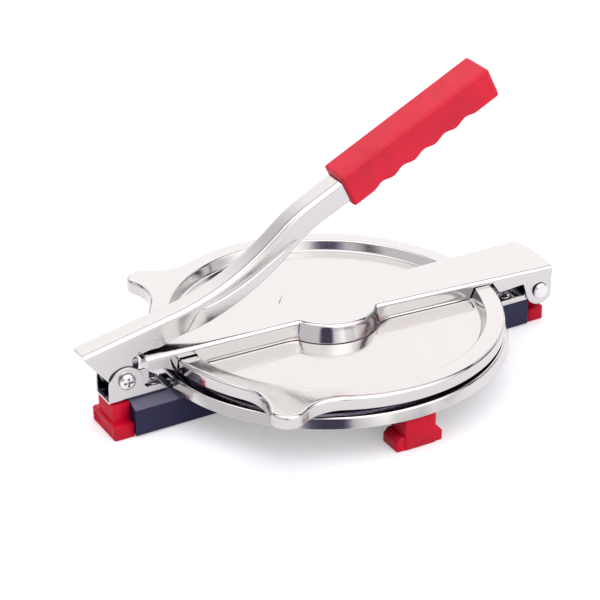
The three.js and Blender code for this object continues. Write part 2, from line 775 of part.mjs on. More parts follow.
function pivotNut() {
  const low = leverBracketHalfWidth + seatGap;
  const high = low + pivotNutHeight;
  const corner = pivotNutFlats / 2 / Math.cos(Math.PI / 6);
  const bore = crossRound(pivotX, pivotZ, pivotShankRadius + boreGap, low - overrun, high + overrun);
  return cut(crossRound(pivotX, pivotZ, corner, low, high, 6), bore);
}

// A spacer boss welded under the lower plate, bored for its screw.
function plateBoss() {
  const low = barTop + seatGap;
  const high = plateTop - sheet - seatGap;
  const body = uprightRound(bossReach, 0, bossRadius, low, high);
  return cut(body, uprightRound(bossReach, 0, screwRadius + boreGap, low - overrun, high - screwTipGap));
}

// Base and feet
addPiece('base_frame', baseFrame(), navyPlastic());
const feet = [
  ['foot_right', barHalfLength, footDepth, hingeSeatTop + seatGap, 0],
  ['foot_back', crossHalfLength, crossFootDepth, barTop, 90],
  ['foot_left', barHalfLength, footDepth, barTop + seatGap, 180],
  ['foot_front', crossHalfLength, crossFootDepth, barTop, 270],
];
for (const [name, end, depth, seat, turn] of feet) {
  addPiece(name, foot(end, depth, seat, turn % 180 !== 0).rotate([0, 0, turn]), redPlastic());
}

// Lower plate with its bosses and the screws that come up through the base
addPiece('bottom_plate', bottomPlate(), steel());
const plateScrewSeat = barTop - barRoof - seatGap;
const plateScrewLength = plateTop - sheet - seatGap - 2 * screwTipGap - plateScrewSeat;
['right', 'back', 'left', 'front'].forEach((side, index) => {
  const turn = 90 * index;
  addPiece(`plate_boss_${side}`, plateBoss().rotate([0, 0, turn]), steel());
  const raised = screw(plateScrewLength).rotate([180, 0, 0]).translate([bossReach, 0, plateScrewSeat]);
  addPiece(`plate_screw_${side}`, raised.rotate([0, 0, turn]), steel());
});

// Brackets and their screws
addPiece('hinge_bracket', hingeBracket(), steel());
addPiece('lever_bracket', leverBracket(), steel());
[['front', -1], ['back', 1]].forEach(([side, sign]) => {
  const seat = hingeSeatTop + sheet + 2 * seatGap;
  const place = [hingeBracketScrewX, sign * hingeBracketScrewY, seat];
  addPiece(`hinge_bracket_screw_${side}`, screw(screwLength).translate(place), steel());
});
leverBracketScrews.forEach((x, index) => {
  const seat = barTop + sheet + 2 * seatGap;
  addPiece(`lever_bracket_screw_${index + 1}`, screw(screwLength).translate([x, 0, seat]), steel());
});

// Upper plate, its arm and the hinge pin with its sleeve
addPiece('top_plate', topPlate(), steel(), upperGroup);
addPiece('top_arm', topArm(), steel(), upperGroup);
addPiece('hinge_pin', hingePin(), steel());
const sleeveInner = hingePinRadius + boreGap;
const hingeSleeveHalf = hingeBracketHalfWidth - sheet - seatGap;
addPiece('hinge_sleeve', crossTube(hingeX, hingeZ, sleeveInner, sleeveInner + hingeSleeveWall, hingeSleeveHalf), steel());

// Hand lever with its pivot
addPiece('lever', lever(), steel());
addPiece('pivot_screw', pivotScrew(), steel());
addPiece('pivot_nut', pivotNut(), steel());
const pivotInner = pivotShankRadius + boreGap;
const pivotSleeveHalf = leverBracketHalfWidth - sheet - seatGap;
addPiece('pivot_sleeve', crossTube(pivotX, pivotZ, pivotInner, pivotInner + pivotSleeveWall, pivotSleeveHalf), steel());
addPiece('grip', grip(), redPlastic());

// Opens the upper plate and its arm about the hinge pin.
upperGroup.position.set(hingeX, 0, hingeZ);
upperGroup.rotation.y = restOpening;
upperGroup.children.forEach((mesh) => mesh.geometry.translate(-hingeX, 0, -hingeZ));

// Puts the origin on the ground under the middle of the whole press.
const openArmEnd = hingeX
  + (armEndX + armEndBulge - hingeX) * Math.cos(restOpening)
  + (webTopAt(armEndX + armEndBulge) - hingeZ) * Math.sin(restOpening);
press.position.x = -(leverTailX + openArmEnd) / 2;

export default press;
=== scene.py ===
import math
import bmesh
import bpy
import numpy as np
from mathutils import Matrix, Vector


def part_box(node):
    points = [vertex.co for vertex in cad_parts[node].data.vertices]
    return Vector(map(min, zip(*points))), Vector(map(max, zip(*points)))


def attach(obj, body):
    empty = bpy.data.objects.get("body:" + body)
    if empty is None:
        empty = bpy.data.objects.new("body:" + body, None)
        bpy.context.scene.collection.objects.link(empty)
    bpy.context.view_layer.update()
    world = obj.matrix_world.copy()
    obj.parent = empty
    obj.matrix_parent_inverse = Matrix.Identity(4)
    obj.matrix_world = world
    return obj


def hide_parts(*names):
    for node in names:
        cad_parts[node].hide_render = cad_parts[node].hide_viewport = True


# Puri press. Every piece is worked out in millimetres about the axis of its two plates, X toward
# the hinge and Z up, and is then moved to where the CAD frame has the plates.
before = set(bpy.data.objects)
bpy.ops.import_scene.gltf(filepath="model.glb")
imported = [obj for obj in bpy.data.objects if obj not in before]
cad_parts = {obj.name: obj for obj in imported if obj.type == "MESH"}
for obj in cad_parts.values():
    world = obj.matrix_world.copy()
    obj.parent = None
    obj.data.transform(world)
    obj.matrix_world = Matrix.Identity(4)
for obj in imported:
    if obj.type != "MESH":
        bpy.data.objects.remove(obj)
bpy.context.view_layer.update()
plateLow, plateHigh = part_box("bottom_plate")
plateAxisX = 500 * (plateLow[0] + plateHigh[0])

# The steel sheet's thickness, the outer radius of its bends and the radius of its cut edges.
sheetMetal = {
    "thickness": 1.2, "bracketBend": 1.7, "armBend": 2.3, "leverBend": 2.6, "edge": 0.28,
    "armEdge": 0.1, "sharpAngle": 35,
}
# The two axes that the press turns about.
hinge = {"x": 124.0, "z": 21.6, "restOpening": 1.0}
pivot = {"x": -120.0, "z": 29.9}
# Points of a mesh that lie closer together than this, in metres, are one.
mergeDistance = 2e-6


# Makes a line of straight runs turn its corners on arcs. Each arc begins and ends its radius
# times the tangent of half the turn away from the corner.
def easedLine(corners, radii, steps=6):
    corners = np.asarray(corners, dtype=float)
    radii = np.broadcast_to(np.asarray(radii, dtype=float), (len(corners) - 2,))[:, None]
    before = corners[1:-1] - corners[:-2]
    after = corners[2:] - corners[1:-1]
    before = before / np.linalg.norm(before, axis=1, keepdims=True)
    after = after / np.linalg.norm(after, axis=1, keepdims=True)
    turn = np.arccos(np.clip((before * after).sum(axis=1), -1, 1))[:, None]
    side = np.sign(before[:, 0] * after[:, 1] - before[:, 1] * after[:, 0])[:, None]
    start = corners[1:-1] - before * radii * np.tan(turn / 2)
    centre = start + side * radii * np.stack([-before[:, 1], before[:, 0]], axis=1)
    heading = np.arctan2(before[:, 1], before[:, 0])[:, None]
    angle = heading + side * turn * np.linspace(0, 1, steps + 1)[None, :]
    x = centre[:, :1] + side * radii * np.sin(angle)
    y = centre[:, 1:] - side * radii * np.cos(angle)
    arcs = np.stack([x, y], axis=-1).reshape(-1, 2)
    return np.vstack([corners[:1], arcs, corners[-1:]])


# Keeps every point of a line and divides its long runs into steps of about one length.
def spacedLine(line, step):
    length = np.concatenate([[0], np.cumsum(np.linalg.norm(np.diff(line, axis=0), axis=1))])
    parts = np.maximum(1, np.ceil(np.diff(length) / step)).astype(int)
    marks = np.concatenate([[0], np.cumsum(parts)])
    places = np.interp(np.arange(marks[-1] + 1), marks, length)
    return np.stack([np.interp(places, length, line[:, k]) for k in range(line.shape[1])], axis=1)


# An arc about a centre, in a plane, from one angle in degrees to another.
def arcLine(centre, radius, first, last, steps):
    angle = np.radians(np.linspace(first, last, steps + 1))
    return np.stack([centre[0] + radius * np.cos(angle), centre[1] + radius * np.sin(angle)], axis=1)


# Eased step from 0 to 1 between two places: three times the square less twice the cube.
def easedStep(value, low, high):
    t = np.clip((value - low) / (high - low), 0, 1)
    return t * t * (3 - 2 * t)


# A grid of points of shape (rows, columns, 3) as one surface. In a ring, its rows close on
# themselves.
def gridPatch(points, isRing=False):
    rows, columns = points.shape[:2]
    row = np.arange(rows - 1)
    column = np.arange(columns if isRing else columns - 1)
    a, b = np.meshgrid(row, column, indexing="ij")
    nextB = (b + 1) % columns
    below = (a + 1) * columns
    quads = [a * columns + b, below + b, below + nextB, a * columns + nextB]
    return points.reshape(-1, 3), np.stack(quads, axis=-1).reshape(-1, 4).tolist()


# A flat patch inside a closed line of points.
def flatPatch(points):
    return points, [list(range(len(points)))]


# Turns points about the hinge by the angle at which the upper plate stands open.
def opened(points):
    turn = math.radians(hinge["restOpening"])
    x = points[..., 0] - hinge["x"]
    z = points[..., 2] - hinge["z"]
    turnedX = hinge["x"] + x * math.cos(turn) + z * math.sin(turn)
    turnedZ = hinge["z"] - x * math.sin(turn) + z * math.cos(turn)
    return np.stack([turnedX, points[..., 1], turnedZ], axis=-1)


# Turns points about the plates' axis by a number of degrees.
def aroundAxis(points, degrees):
    angle = math.radians(degrees)
    x = points[..., 0] * math.cos(angle) - points[..., 1] * math.sin(angle)
    y = points[..., 0] * math.sin(angle) + points[..., 1] * math.cos(angle)
    return np.stack([x, y, points[..., 2]], axis=-1)


# Puts a finished mesh in the scene, on a body and in the place of a CAD node.
def placePiece(name, mesh, built, body, material, node):
    built.to_mesh(mesh)
    built.free()
    mesh.polygons.foreach_set("use_smooth", np.ones(len(mesh.polygons), dtype=bool))
    mesh.materials.clear()
    mesh.materials.append(material)
    piece = bpy.data.objects.new(name, mesh)
    bpy.context.scene.collection.objects.link(piece)
    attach(piece, body)
    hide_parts(node)
    return piece


# Joins patches into one mesh piece in metres, merges the points they share, and faces it away
# from an inner point where one is given.
def addPiece(name, body, material, patches, node, inner=None, isUpper=False):
    points = []
    faces = []
    count = 0
    for patchPoints, patchFaces in patches:
        points.append(patchPoints)
        faces.extend([[index + count for index in face] for face in patchFaces])
        count += len(patchPoints)
    points = np.concatenate(points)
    if isUpper:
        points = opened(points)
    points = (points + np.array([plateAxisX, 0, 0])) / 1000
    mesh = bpy.data.meshes.new(name)
    mesh.from_pydata(points.tolist(), [], faces)
    built = bmesh.new()
    built.from_mesh(mesh)
    bmesh.ops.remove_doubles(built, verts=built.verts, dist=mergeDistance)
    bmesh.ops.dissolve_degenerate(built, edges=built.edges, dist=mergeDistance / 2)
    bmesh.ops.recalc_face_normals(built, faces=built.faces)
    if inner is not None:
        middle = (Vector(inner) + Vector((plateAxisX, 0, 0))) / 1000
        outward = sum(face.normal.dot(face.calc_center_median() - middle) * face.calc_area()
                      for face in built.faces)
        if outward < 0:
            bmesh.ops.reverse_faces(built, faces=built.faces)
    return placePiece(name, mesh, built, body, material, node)


# Rounds a piece's sharp edges and evens out its shading.
def softenEdges(piece, width):
    bevel = piece.modifiers.new("edges", "BEVEL")
    bevel.width = width / 1000
    bevel.segments = 2
    bevel.limit_method = "ANGLE"
    bevel.angle_limit = math.radians(sheetMetal["sharpAngle"])
    bevel.use_clamp_overlap = False
    shading = piece.modifiers.new("shading", "WEIGHTED_NORMAL")
    shading.keep_sharp = True
    shading.weight = 60


# Gives a surface its sheet thickness, measured inward from it, and rounds the cut edges.
def asSheet(piece, edge=sheetMetal["edge"]):
    wall = piece.modifiers.new("wall", "SOLIDIFY")
    wall.thickness = sheetMetal["thickness"] / 1000
    wall.offset = -1
    wall.use_even_offset = True
    softenEdges(piece, edge)


# Takes a merged copy of a small CAD node, with its edges rounded, in the node's place.
def softenedNode(node, body, material, width):
    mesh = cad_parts[node].data.copy()
    mesh.name = node + "Soft"
    built = bmesh.new()
    built.from_mesh(mesh)
    bmesh.ops.remove_doubles(built, verts=built.verts, dist=mergeDistance)
    bmesh.ops.dissolve_limit(built, angle_limit=math.radians(1), verts=built.verts, edges=built.edges)
    softenEdges(placePiece(node + "_soft", mesh, built, body, material, node), width)


# Finishes. Each steel has a colour, a roughness, a painted shade colour for deep in its folds, the
# fineness of its grain along each axis, and the openness at which the painted shade begins and ends to
# give way.
steel = {"colour": (0.59, 0.578, 0.572), "roughness": 0.12, "paintedShadeColour": (0.22, 0.19, 0.3)}
steels = {
    "plateSteel": {**steel, "grain": (900, 60, 900), "openness": (0.08, 0.36)},
    "stripSteel": {**steel, "grain": (40, 1100, 1100), "openness": (0.04, 0.28)},
    # The brackets' painted shade is darker and spreads further, for the shade under the arm and lever.
    "bracketSteel": {
        **steel, "paintedShadeColour": (0.08, 0.07, 0.13), "grain": (40, 1100, 1100), "openness": (0.3, 0.6),
    },
    "screwSteel": {
        **steel, "colour": (0.74, 0.725, 0.73), "roughness": 0.15, "grain": (700, 700, 700),
        "openness": (0.08, 0.36),
    },
}
# Each plastic or rubber has a colour, a roughness, a gloss and a height of stipple in metres.
mouldings = {
    "navyPlastic": {"colour": (0.008, 0.0075, 0.042), "roughness": 0.42, "gloss": 0.3, "stipple": 4e-5},
    "gripPlastic": {"colour": (0.60, 0.005, 0.028), "roughness": 0.38, "gloss": 0.3, "stipple": 2e-5},
    "footRubber": {"colour": (0.52, 0.002, 0.022), "roughness": 0.5, "gloss": 0.2, "stipple": 4e-5},
}
# The patterns' scales on the object's coordinates in metres, what they change the finish by, the
# distance in metres over which the painted shade in folds is felt, and the painted sheen on the navy
# plastic.
finishes = {
    "grainSpread": (-0.03, 0.03), "polishScale": 38, "polishSpread": (-0.05, 0.06),
    "rippleScale": 90, "rippleHeight": 1e-5, "mottleScale": 60, "mottleShades": (0.88, 1.1),
    "wearScale": 150, "wearSpread": (-0.06, 0.08), "stippleScale": 2200, "paintedShadeReach": 0.02,
    "paintedSheenColour": (0.12, 0.118, 0.17), "paintedSheenLooksUp": (0.55, 0.95),
}


# A material with its node tree and its shader.
def startMaterial(name):
    material = bpy.data.materials.new(name)
    material.use_nodes = True
    return material, material.node_tree, material.node_tree.nodes["Principled BSDF"]


# A noise pattern on the object's own coordinates, at one scale or at a scale along each axis.
def addNoise(tree, scale, detail):
    place = tree.nodes.new("ShaderNodeTexCoord")
    mapping = tree.nodes.new("ShaderNodeMapping")
    mapping.inputs["Scale"].default_value = np.broadcast_to(scale, 3).tolist()
    noise = tree.nodes.new("ShaderNodeTexNoise")
    noise.inputs["Scale"].default_value = 1.0
    noise.inputs["Detail"].default_value = detail
    tree.links.new(place.outputs["Object"], mapping.inputs["Vector"])
    tree.links.new(mapping.outputs["Vector"], noise.inputs["Vector"])
    return noise.outputs["Fac"]


# A value moved from one range to another, evenly or with eased ends.
def addRange(tree, value, low, high, fromLow=0.3, fromHigh=0.7, kind="LINEAR"):
    spread = tree.nodes.new("ShaderNodeMapRange")
    spread.interpolation_type = kind
    spread.inputs["From Min"].default_value = fromLow
    spread.inputs["From Max"].default_value = fromHigh
    spread.inputs["To Min"].default_value = low
    spread.inputs["To Max"].default_value = high
    tree.links.new(value, spread.inputs["Value"])
    return spread.outputs["Result"]


# An operation on values, each of which is a number or another node's output.
def addMath(tree, operation, *values):
    node = tree.nodes.new("ShaderNodeMath")
    node.operation = operation
    for socket, value in zip(node.inputs, values):
        if isinstance(value, (int, float)):
            socket.default_value = value
        else:
            tree.links.new(value, socket)
    return node.outputs["Value"]


# A mix by a factor of one thing and a colour. The first is a colour too, or a node's output.
def addMix(tree, factor, first, colour):
    blend = tree.nodes.new("ShaderNodeMix")
    blend.data_type = "RGBA"
    if isinstance(first, tuple):
        blend.inputs["A"].default_value = (*first, 1)
    else:
        tree.links.new(first, blend.inputs["A"])
    blend.inputs["B"].default_value = (*colour, 1)
    tree.links.new(factor, blend.inputs["Factor"])
    return blend.outputs["Result"]


# Lifts and sinks the shaded surface by a pattern.
def addBump(tree, shader, value, height):
    bump = tree.nodes.new("ShaderNodeBump")
    bump.inputs["Strength"].default_value = 1.0
    bump.inputs["Distance"].default_value = height
    tree.links.new(value, bump.inputs["Height"])
    tree.links.new(bump.outputs["Normal"], shader.inputs["Normal"])


# Steel: a fine grain along one direction, a broad uneven polish and faint ripples. Deep inside
# folds and narrow gaps its colour is darkened toward a painted shade colour, by how enclosed it is.
def steelFinish(name, colour, roughness, paintedShadeColour, grain, openness):
    material, tree, shader = startMaterial(name)
    shader.inputs["Metallic"].default_value = 1.0
    # Painted shade: occlusion within a short reach blends the base colour toward the shade colour.
    reach = tree.nodes.new("ShaderNodeAmbientOcclusion")
    reach.samples = 6
    reach.inputs["Distance"].default_value = finishes["paintedShadeReach"]
    unshaded = addRange(tree, reach.outputs["AO"], 0, 1, *openness)
    tree.links.new(addMix(tree, unshaded, paintedShadeColour, colour), shader.inputs["Base Color"])
    lines = addRange(tree, addNoise(tree, grain, 2.0), *finishes["grainSpread"])
    low, high = finishes["polishSpread"]
    polish = addNoise(tree, finishes["polishScale"], 4.0)
    polish = addRange(tree, polish, roughness + low, roughness + high)
    tree.links.new(addMath(tree, "ADD", lines, polish), shader.inputs["Roughness"])
    addBump(tree, shader, addNoise(tree, finishes["rippleScale"], 2.0), finishes["rippleHeight"])
    return material


# Moulded plastic or rubber: a fine stipple, with its gloss and colour slightly uneven.
def mouldedFinish(name, colour, roughness, gloss, stipple):
    material, tree, shader = startMaterial(name)
    shader.inputs["Specular IOR Level"].default_value = gloss
    darker, lighter = [tuple(min(1, shade * part) for part in colour)
                       for shade in finishes["mottleShades"]]
    mottle = addRange(tree, addNoise(tree, finishes["mottleScale"], 4.0), 0, 1)
    tree.links.new(addMix(tree, mottle, darker, lighter), shader.inputs["Base Color"])
    low, high = finishes["wearSpread"]
    wear = addNoise(tree, finishes["wearScale"], 3.0)
    tree.links.new(addRange(tree, wear, roughness + low, roughness + high), shader.inputs["Roughness"])
    addBump(tree, shader, addNoise(tree, finishes["stippleScale"], 2.0), stipple)
    return material


# Painted sheen: a paler colour on the faces that look up, standing in for their gloss.
def addPaintedSheen(material):
    tree = material.node_tree
    shader = tree.nodes["Principled BSDF"]
    under = shader.inputs["Base Color"].links[0].from_socket
    surface = tree.nodes.new("ShaderNodeNewGeometry")
    parts = tree.nodes.new("ShaderNodeSeparateXYZ")
    tree.links.new(surface.outputs["Normal"], parts.inputs["Vector"])
    looksUp = addRange(tree, parts.outputs["Z"], 0, 1, *finishes["paintedSheenLooksUp"])
    tree.links.new(addMix(tree, looksUp, under, finishes["paintedSheenColour"]), shader.inputs["Base Color"])


plateSteel, stripSteel, bracketSteel, screwSteel = [
    steelFinish(name, **look) for name, look in steels.items()
]
navyPlastic, gripPlastic, footRubber = [
    mouldedFinish(name, **look) for name, look in mouldings.items()
]
# The navy plastic's upward faces get a painted sheen.
addPaintedSheen(navyPlastic)
print("finishes made")

# Camera: lens and sensor in millimetres, shift as a share of the picture, place in metres from the
# plates' axis, and turns in degrees.
viewpoint = {
    "lens": 132, "sensor": 36, "shift": (-26.52 / 600, -3.43 / 600),
    "place": (-0.50798, -0.88419, 0.58078), "turns": (62.1531, 0.1459, -29.9552),
}
cameraData = bpy.data.cameras.new("camera")
cameraData.lens = viewpoint["lens"]
cameraData.sensor_width = viewpoint["sensor"]
cameraData.shift_x, cameraData.shift_y = viewpoint["shift"]
camera = bpy.data.objects.new("camera", cameraData)
camera.location = (viewpoint["place"][0] + plateAxisX / 1000, *viewpoint["place"][1:])
camera.rotation_euler = [math.radians(angle) for angle in viewpoint["turns"]]
bpy.context.scene.collection.objects.link(camera)
bpy.context.scene.camera = camera
print("camera placed")

# Floor, backdrop and light: a pale tent with three bright panels, four dark openings low in its
# wall and a dark seam overhead
studio = {
    "floorColour": (0.69, 0.69, 0.72), "floorRoughness": 0.9, "floorGloss": 0.1,
    "floorLift": 0.3, "floorSize": 4.0,
    "wallColour": (0.995, 0.97, 0.97), "gapColour": (0.66, 0.56, 1.0), "wallStrength": 0.9,
    # bearing and height in degrees, half angle of the full and of the fading part, and the change
    "zones": {
        "backPanel": (60, 30, 24, 48, 0.62),
        "frontPanel": (290, 36, 18, 42, 1.2),
        "topPanel": (60, 88, 24, 50, 1.2),
        "frontGap": (290, 2, 7, 16, -0.6),
        "cameraGap": (240, 9, 9, 17, -0.78),
        "rightGap": (354, 3, 9, 16, -0.9),
        "backGap": (84, 4, 5, 12, -0.9),
    },
    # the seam's bearing, how high each side of it starts and ends, and the share of light left
    "seamBearing": 60, "seamNear": (54, 58), "seamFar": (75, 70), "seamLight": 0.12,
}
floorMesh = bpy.data.meshes.new("floor")
corners = studio["floorSize"] * np.array([[-1, -1, 0], [1, -1, 0], [1, 1, 0], [-1, 1, 0]])
floorMesh.from_pydata(corners.tolist(), [], [[0, 1, 2, 3]])
floor = bpy.data.objects.new("floor", floorMesh)
bpy.context.scene.collection.objects.link(floor)
floorMaterial, floorTree, floorShader = startMaterial("floor")
floorShader.inputs["Base Color"].default_value = (*studio["floorColour"], 1)
floorShader.inputs["Roughness"].default_value = studio["floorRoughness"]
floorShader.inputs["Specular IOR Level"].default_value = studio["floorGloss"]
# A lift brightens the floor for rays that see it straight, in a polish or through glass. It
# adds nothing to the soft light.
rays = floorTree.nodes.new("ShaderNodeLightPath").outputs
seen = addMath(floorTree, "MAXIMUM", rays["Is Camera Ray"], rays["Is Glossy Ray"])
seen = addMath(floorTree, "MAXIMUM", seen, rays["Is Transmission Ray"])
lift = addMath(floorTree, "MULTIPLY", seen, studio["floorLift"])
floorShader.inputs["Emission Color"].default_value = (1, 1, 1, 1)
floorTree.links.new(lift, floorShader.inputs["Emission Strength"])
floorMesh.materials.append(floorMaterial)


# The direction of a bearing and a height in degrees.
def directionOf(bearing, height):
    flat = math.cos(math.radians(height))
    bearing = math.radians(bearing)
    return flat * math.cos(bearing), flat * math.sin(bearing), math.sin(math.radians(height))


# How far a direction points along a fixed one.
def addDot(tree, value, fixed):
    dot = tree.nodes.new("ShaderNodeVectorMath")
    dot.operation = "DOT_PRODUCT"
    dot.inputs[1].default_value = fixed
    tree.links.new(value, dot.inputs[0])
    return dot.outputs["Value"]


world = bpy.data.worlds.new("studio")
bpy.context.scene.world = world
world.use_nodes = True
skyTree = world.node_tree
sky = skyTree.nodes["Background"]
ray = skyTree.nodes.new("ShaderNodeTexCoord").outputs["Generated"]
strength = studio["wallStrength"]
for bearing, height, fullAngle, fadeAngle, change in studio["zones"].values():
    toward = addDot(skyTree, ray, directionOf(bearing, height))
    fade = addRange(skyTree, toward, 0, change, math.cos(math.radians(fadeAngle)),
                    math.cos(math.radians(fullAngle)), "SMOOTHSTEP")
    strength = addMath(skyTree, "ADD", strength, fade)
# The seam is a strip across the top: the angle of a ray above the level behind the press.
split = skyTree.nodes.new("ShaderNodeSeparateXYZ")
skyTree.links.new(ray, split.inputs["Vector"])
behind = addDot(skyTree, ray, directionOf(studio["seamBearing"], 0))
rise = addMath(skyTree, "ARCTAN2", split.outputs["Z"], behind)
near, far = [addRange(skyTree, rise, 0, 1, math.radians(first), math.radians(last), "SMOOTHSTEP")
             for first, last in (studio["seamNear"], studio["seamFar"])]
inSeam = addMath(skyTree, "MULTIPLY", near, far)
lightShare = addMath(skyTree, "MULTIPLY_ADD", inSeam, studio["seamLight"] - 1, 1)
level = addMath(skyTree, "MULTIPLY", lightShare, strength)
skyTree.links.new(level, sky.inputs["Strength"])
# The darker a place of the tent is, the more lilac it is.
tint = addMix(skyTree, level, studio["gapColour"], studio["wallColour"])
skyTree.links.new(tint, sky.inputs["Color"])
bpy.context.scene.view_settings.view_transform = "Standard"
print("studio set")

# Lower plate: a profile of radius and height turned about the plates' axis
lowerPlate = {
    "radius": 94.4, "top": 24.7, "skirtBottom": 19.0, "flare": 2.1, "corner": 1.4, "columns": 288,
}


# A turned surface: each point of the profile goes once round the axis.
def turnedPatch(profile, columns):
    angle = np.linspace(0, 2 * math.pi, columns, endpoint=False)
    x = profile[:, :1] * np.cos(angle)
    y = profile[:, :1] * np.sin(angle)
    z = np.broadcast_to(profile[:, 1:2], x.shape)
    return gridPatch(np.stack([x, y, z], axis=-1), isRing=True)


lowerProfile = easedLine([
    (0, lowerPlate["top"]),
    (lowerPlate["radius"], lowerPlate["top"]),
    (lowerPlate["radius"] + lowerPlate["flare"], lowerPlate["skirtBottom"]),
], lowerPlate["corner"])
lowerSurface = turnedPatch(spacedLine(lowerProfile, 12), lowerPlate["columns"])
asSheet(addPiece("bottom_plate_sheet", "base", plateSteel, [lowerSurface],
                 "bottom_plate", (0, 0, 10)))
print("lower plate made")

# Upper plate: floor, recess wall, hollow rim and skirt, carried round an outline with two ears
upperPlate = {
    "floor": 26.6, "floorRadius": 81.3, "recessRadius": 83.6, "rimTop": 32.4, "underside": 25.4,
    "rimRadius": 93.7, "rimCorner": 2.0, "wallEase": 1.6, "earAngle": 130.4, "earReach": 105.5,
    "earTip": 8.8, "earFlank": 25.0,
}


# Outline of the upper plate as a distance for every bearing. Inside an ear's tip it is the far
# side of the tip circle, along a flank it is the near side of the flank circle, and elsewhere
# it is the rim's own radius.
def upperOutline(bearing):
    sizes = upperPlate
    far = sizes["rimRadius"] + sizes["earFlank"]
    near = sizes["earTip"] + sizes["earFlank"]
    reach = sizes["earReach"]
    turn = math.acos((far ** 2 + reach ** 2 - near ** 2) / (2 * far * reach))
    touchX = reach + sizes["earTip"] / near * (far * math.cos(turn) - reach)
    touchY = sizes["earTip"] / near * far * math.sin(turn)
    touch = math.atan2(touchY, touchX)
    ear = math.radians(sizes["earAngle"])
    gap = np.minimum(np.abs(np.angle(np.exp(1j * (bearing - ear)))),
                     np.abs(np.angle(np.exp(1j * (bearing + ear)))))
    inTip = np.minimum(gap, touch)
    halfChord = np.sqrt(np.maximum(sizes["earTip"] ** 2 - (reach * np.sin(inTip)) ** 2, 0))
    tip = reach * np.cos(inTip) + halfChord
    inFlank = turn - np.clip(gap, touch, turn)
    flank = far * np.cos(inFlank) - np.sqrt(sizes["earFlank"] ** 2 - (far * np.sin(inFlank)) ** 2)
    return np.where(gap < touch, tip, np.where(gap < turn, flank, sizes["rimRadius"]))


# Bearings all round, closer together at the ears
ear = math.radians(upperPlate["earAngle"])
even = np.radians(np.arange(0, 360, 1.5))
near = np.radians(np.concatenate([np.arange(-16, 16, 0.5), np.arange(-4.5, 4.5, 0.15)]))
bearings = np.concatenate([even, ear + near, -ear + near]) % (2 * math.pi)
bearings = np.unique(np.round(bearings, 4))
reachLine = upperOutline(bearings)
edgeLine = np.stack([reachLine * np.cos(bearings), reachLine * np.sin(bearings)], axis=1)
along = np.roll(edgeLine, -1, axis=0) - np.roll(edgeLine, 1, axis=0)
edgeOut = np.stack([along[:, 1], -along[:, 0]], axis=1)
edgeOut = edgeOut / np.linalg.norm(edgeOut, axis=1, keepdims=True)
unit = np.stack([np.cos(bearings), np.sin(bearings)], axis=1)
dishProfile = easedLine([
    (0, upperPlate["floor"]),
    (upperPlate["floorRadius"], upperPlate["floor"]),
    (upperPlate["recessRadius"], upperPlate["rimTop"]),
    (upperPlate["recessRadius"] + 4, upperPlate["rimTop"]),
], upperPlate["wallEase"])
dishProfile = spacedLine(dishProfile, 12)
skirtProfile = easedLine([
    (4, upperPlate["rimTop"]),
    (0, upperPlate["rimTop"]),
    (0, upperPlate["underside"]),
], upperPlate["rimCorner"], 8)[1:]
dishRows = unit[None] * dishProfile[:, :1, None]
skirtRows = edgeLine[None] - edgeOut[None] * skirtProfile[:, :1, None]
share = np.linspace(0, 1, 5)[1:-1, None, None]
rimRows = dishRows[-1:] * (1 - share) + skirtRows[:1] * share
plan = np.concatenate([dishRows, rimRows, skirtRows])
height = np.concatenate([dishProfile[:, 1], np.full(3, upperPlate["rimTop"]), skirtProfile[:, 1]])
height = np.broadcast_to(height[:, None, None], plan.shape[:2] + (1,))
upperPoints = np.concatenate([plan, height], axis=2)
asSheet(addPiece("top_plate_sheet", "upper_plate", plateSteel,
                 [gridPatch(upperPoints, isRing=True)], "top_plate", (0, 0, -40), True))
print("upper plate made")

# Arm: sections across it, carried from the nose over the round boss to the hinge. The lower edge
# of its flanges is high over the rim, low in the dish and round at the hinge: a line of corners
# of X and Z, each with the radius it is eased by, that ends in a lobe about the hinge.
arm = {
    "noseX": -113.0, "endX": 131.2, "noseTop": 37.5, "endTop": 34.8, "noseHalf": 11.6,
    "noseCut": 2.1, "noseCorner": 3.0, "bossRadius": 25.8, "bossFillet": 2.7, "bossDraft": 2.5,
    "rightX": 21.4, "rightIn": 14.4, "rightOut": 18.7, "endBulge": 1.7, "bulgeStart": 112.0,
    "tipDrop": 1.5, "tipRun": 2.6, "lip": 0.6, "leastFlange": 0.3, "lobe": 8.3,
    "lowerStart": (-113.0, 32.6),
    "lowerCorners": (
        (-110.8, 31.8), (-107.6, 30.2), (-104.6, 29.7), (-101.0, 29.8), (-94.9, 26.6), (-93.8, 27.4),
        (-93.0, 33.1), (-82.5, 33.1), (-80.1, 26.9), (79.1, 26.9), (81.5, 33.0), (93.0, 33.0),
        (98.0, 25.9), (113.2, 27.5),
    ),
    "lowerRadii": (0.6, 1.5, 1.5, 1.5, 0.8, 0.4, 0.6, 0.6, 0.6, 0.6, 0.6, 1.0, 2.0, 0.9),
    # distances from the plates' axis between which the boss and the dish each end
    "bossEnd": (22.0, 30.0), "dishEnd": (77.0, 80.0),
}


# The fillet between the round boss and a straight side: its centre is one fillet radius out
# from the side and one fillet radius out from the boss.
def bossFillet(square, along, distance, isFirst):
    boss = arm["bossRadius"]
    small = arm["bossFillet"]
    out = distance + small
    run = math.sqrt((boss + small) ** 2 - out ** 2)
    centre = out * square + run * along
    bossAngle = math.degrees(math.atan2(-centre[1], -centre[0]))
    sideAngle = math.degrees(math.atan2(-square[1], -square[0]))
    ends = (sideAngle, bossAngle) if isFirst else (bossAngle, sideAngle)
    turn = (ends[1] - ends[0] + 180) % 360 - 180
    arc = arcLine(centre, small, ends[0], ends[0] + turn, 6)
    return arc, math.degrees(math.atan2(centre[1], centre[0]))


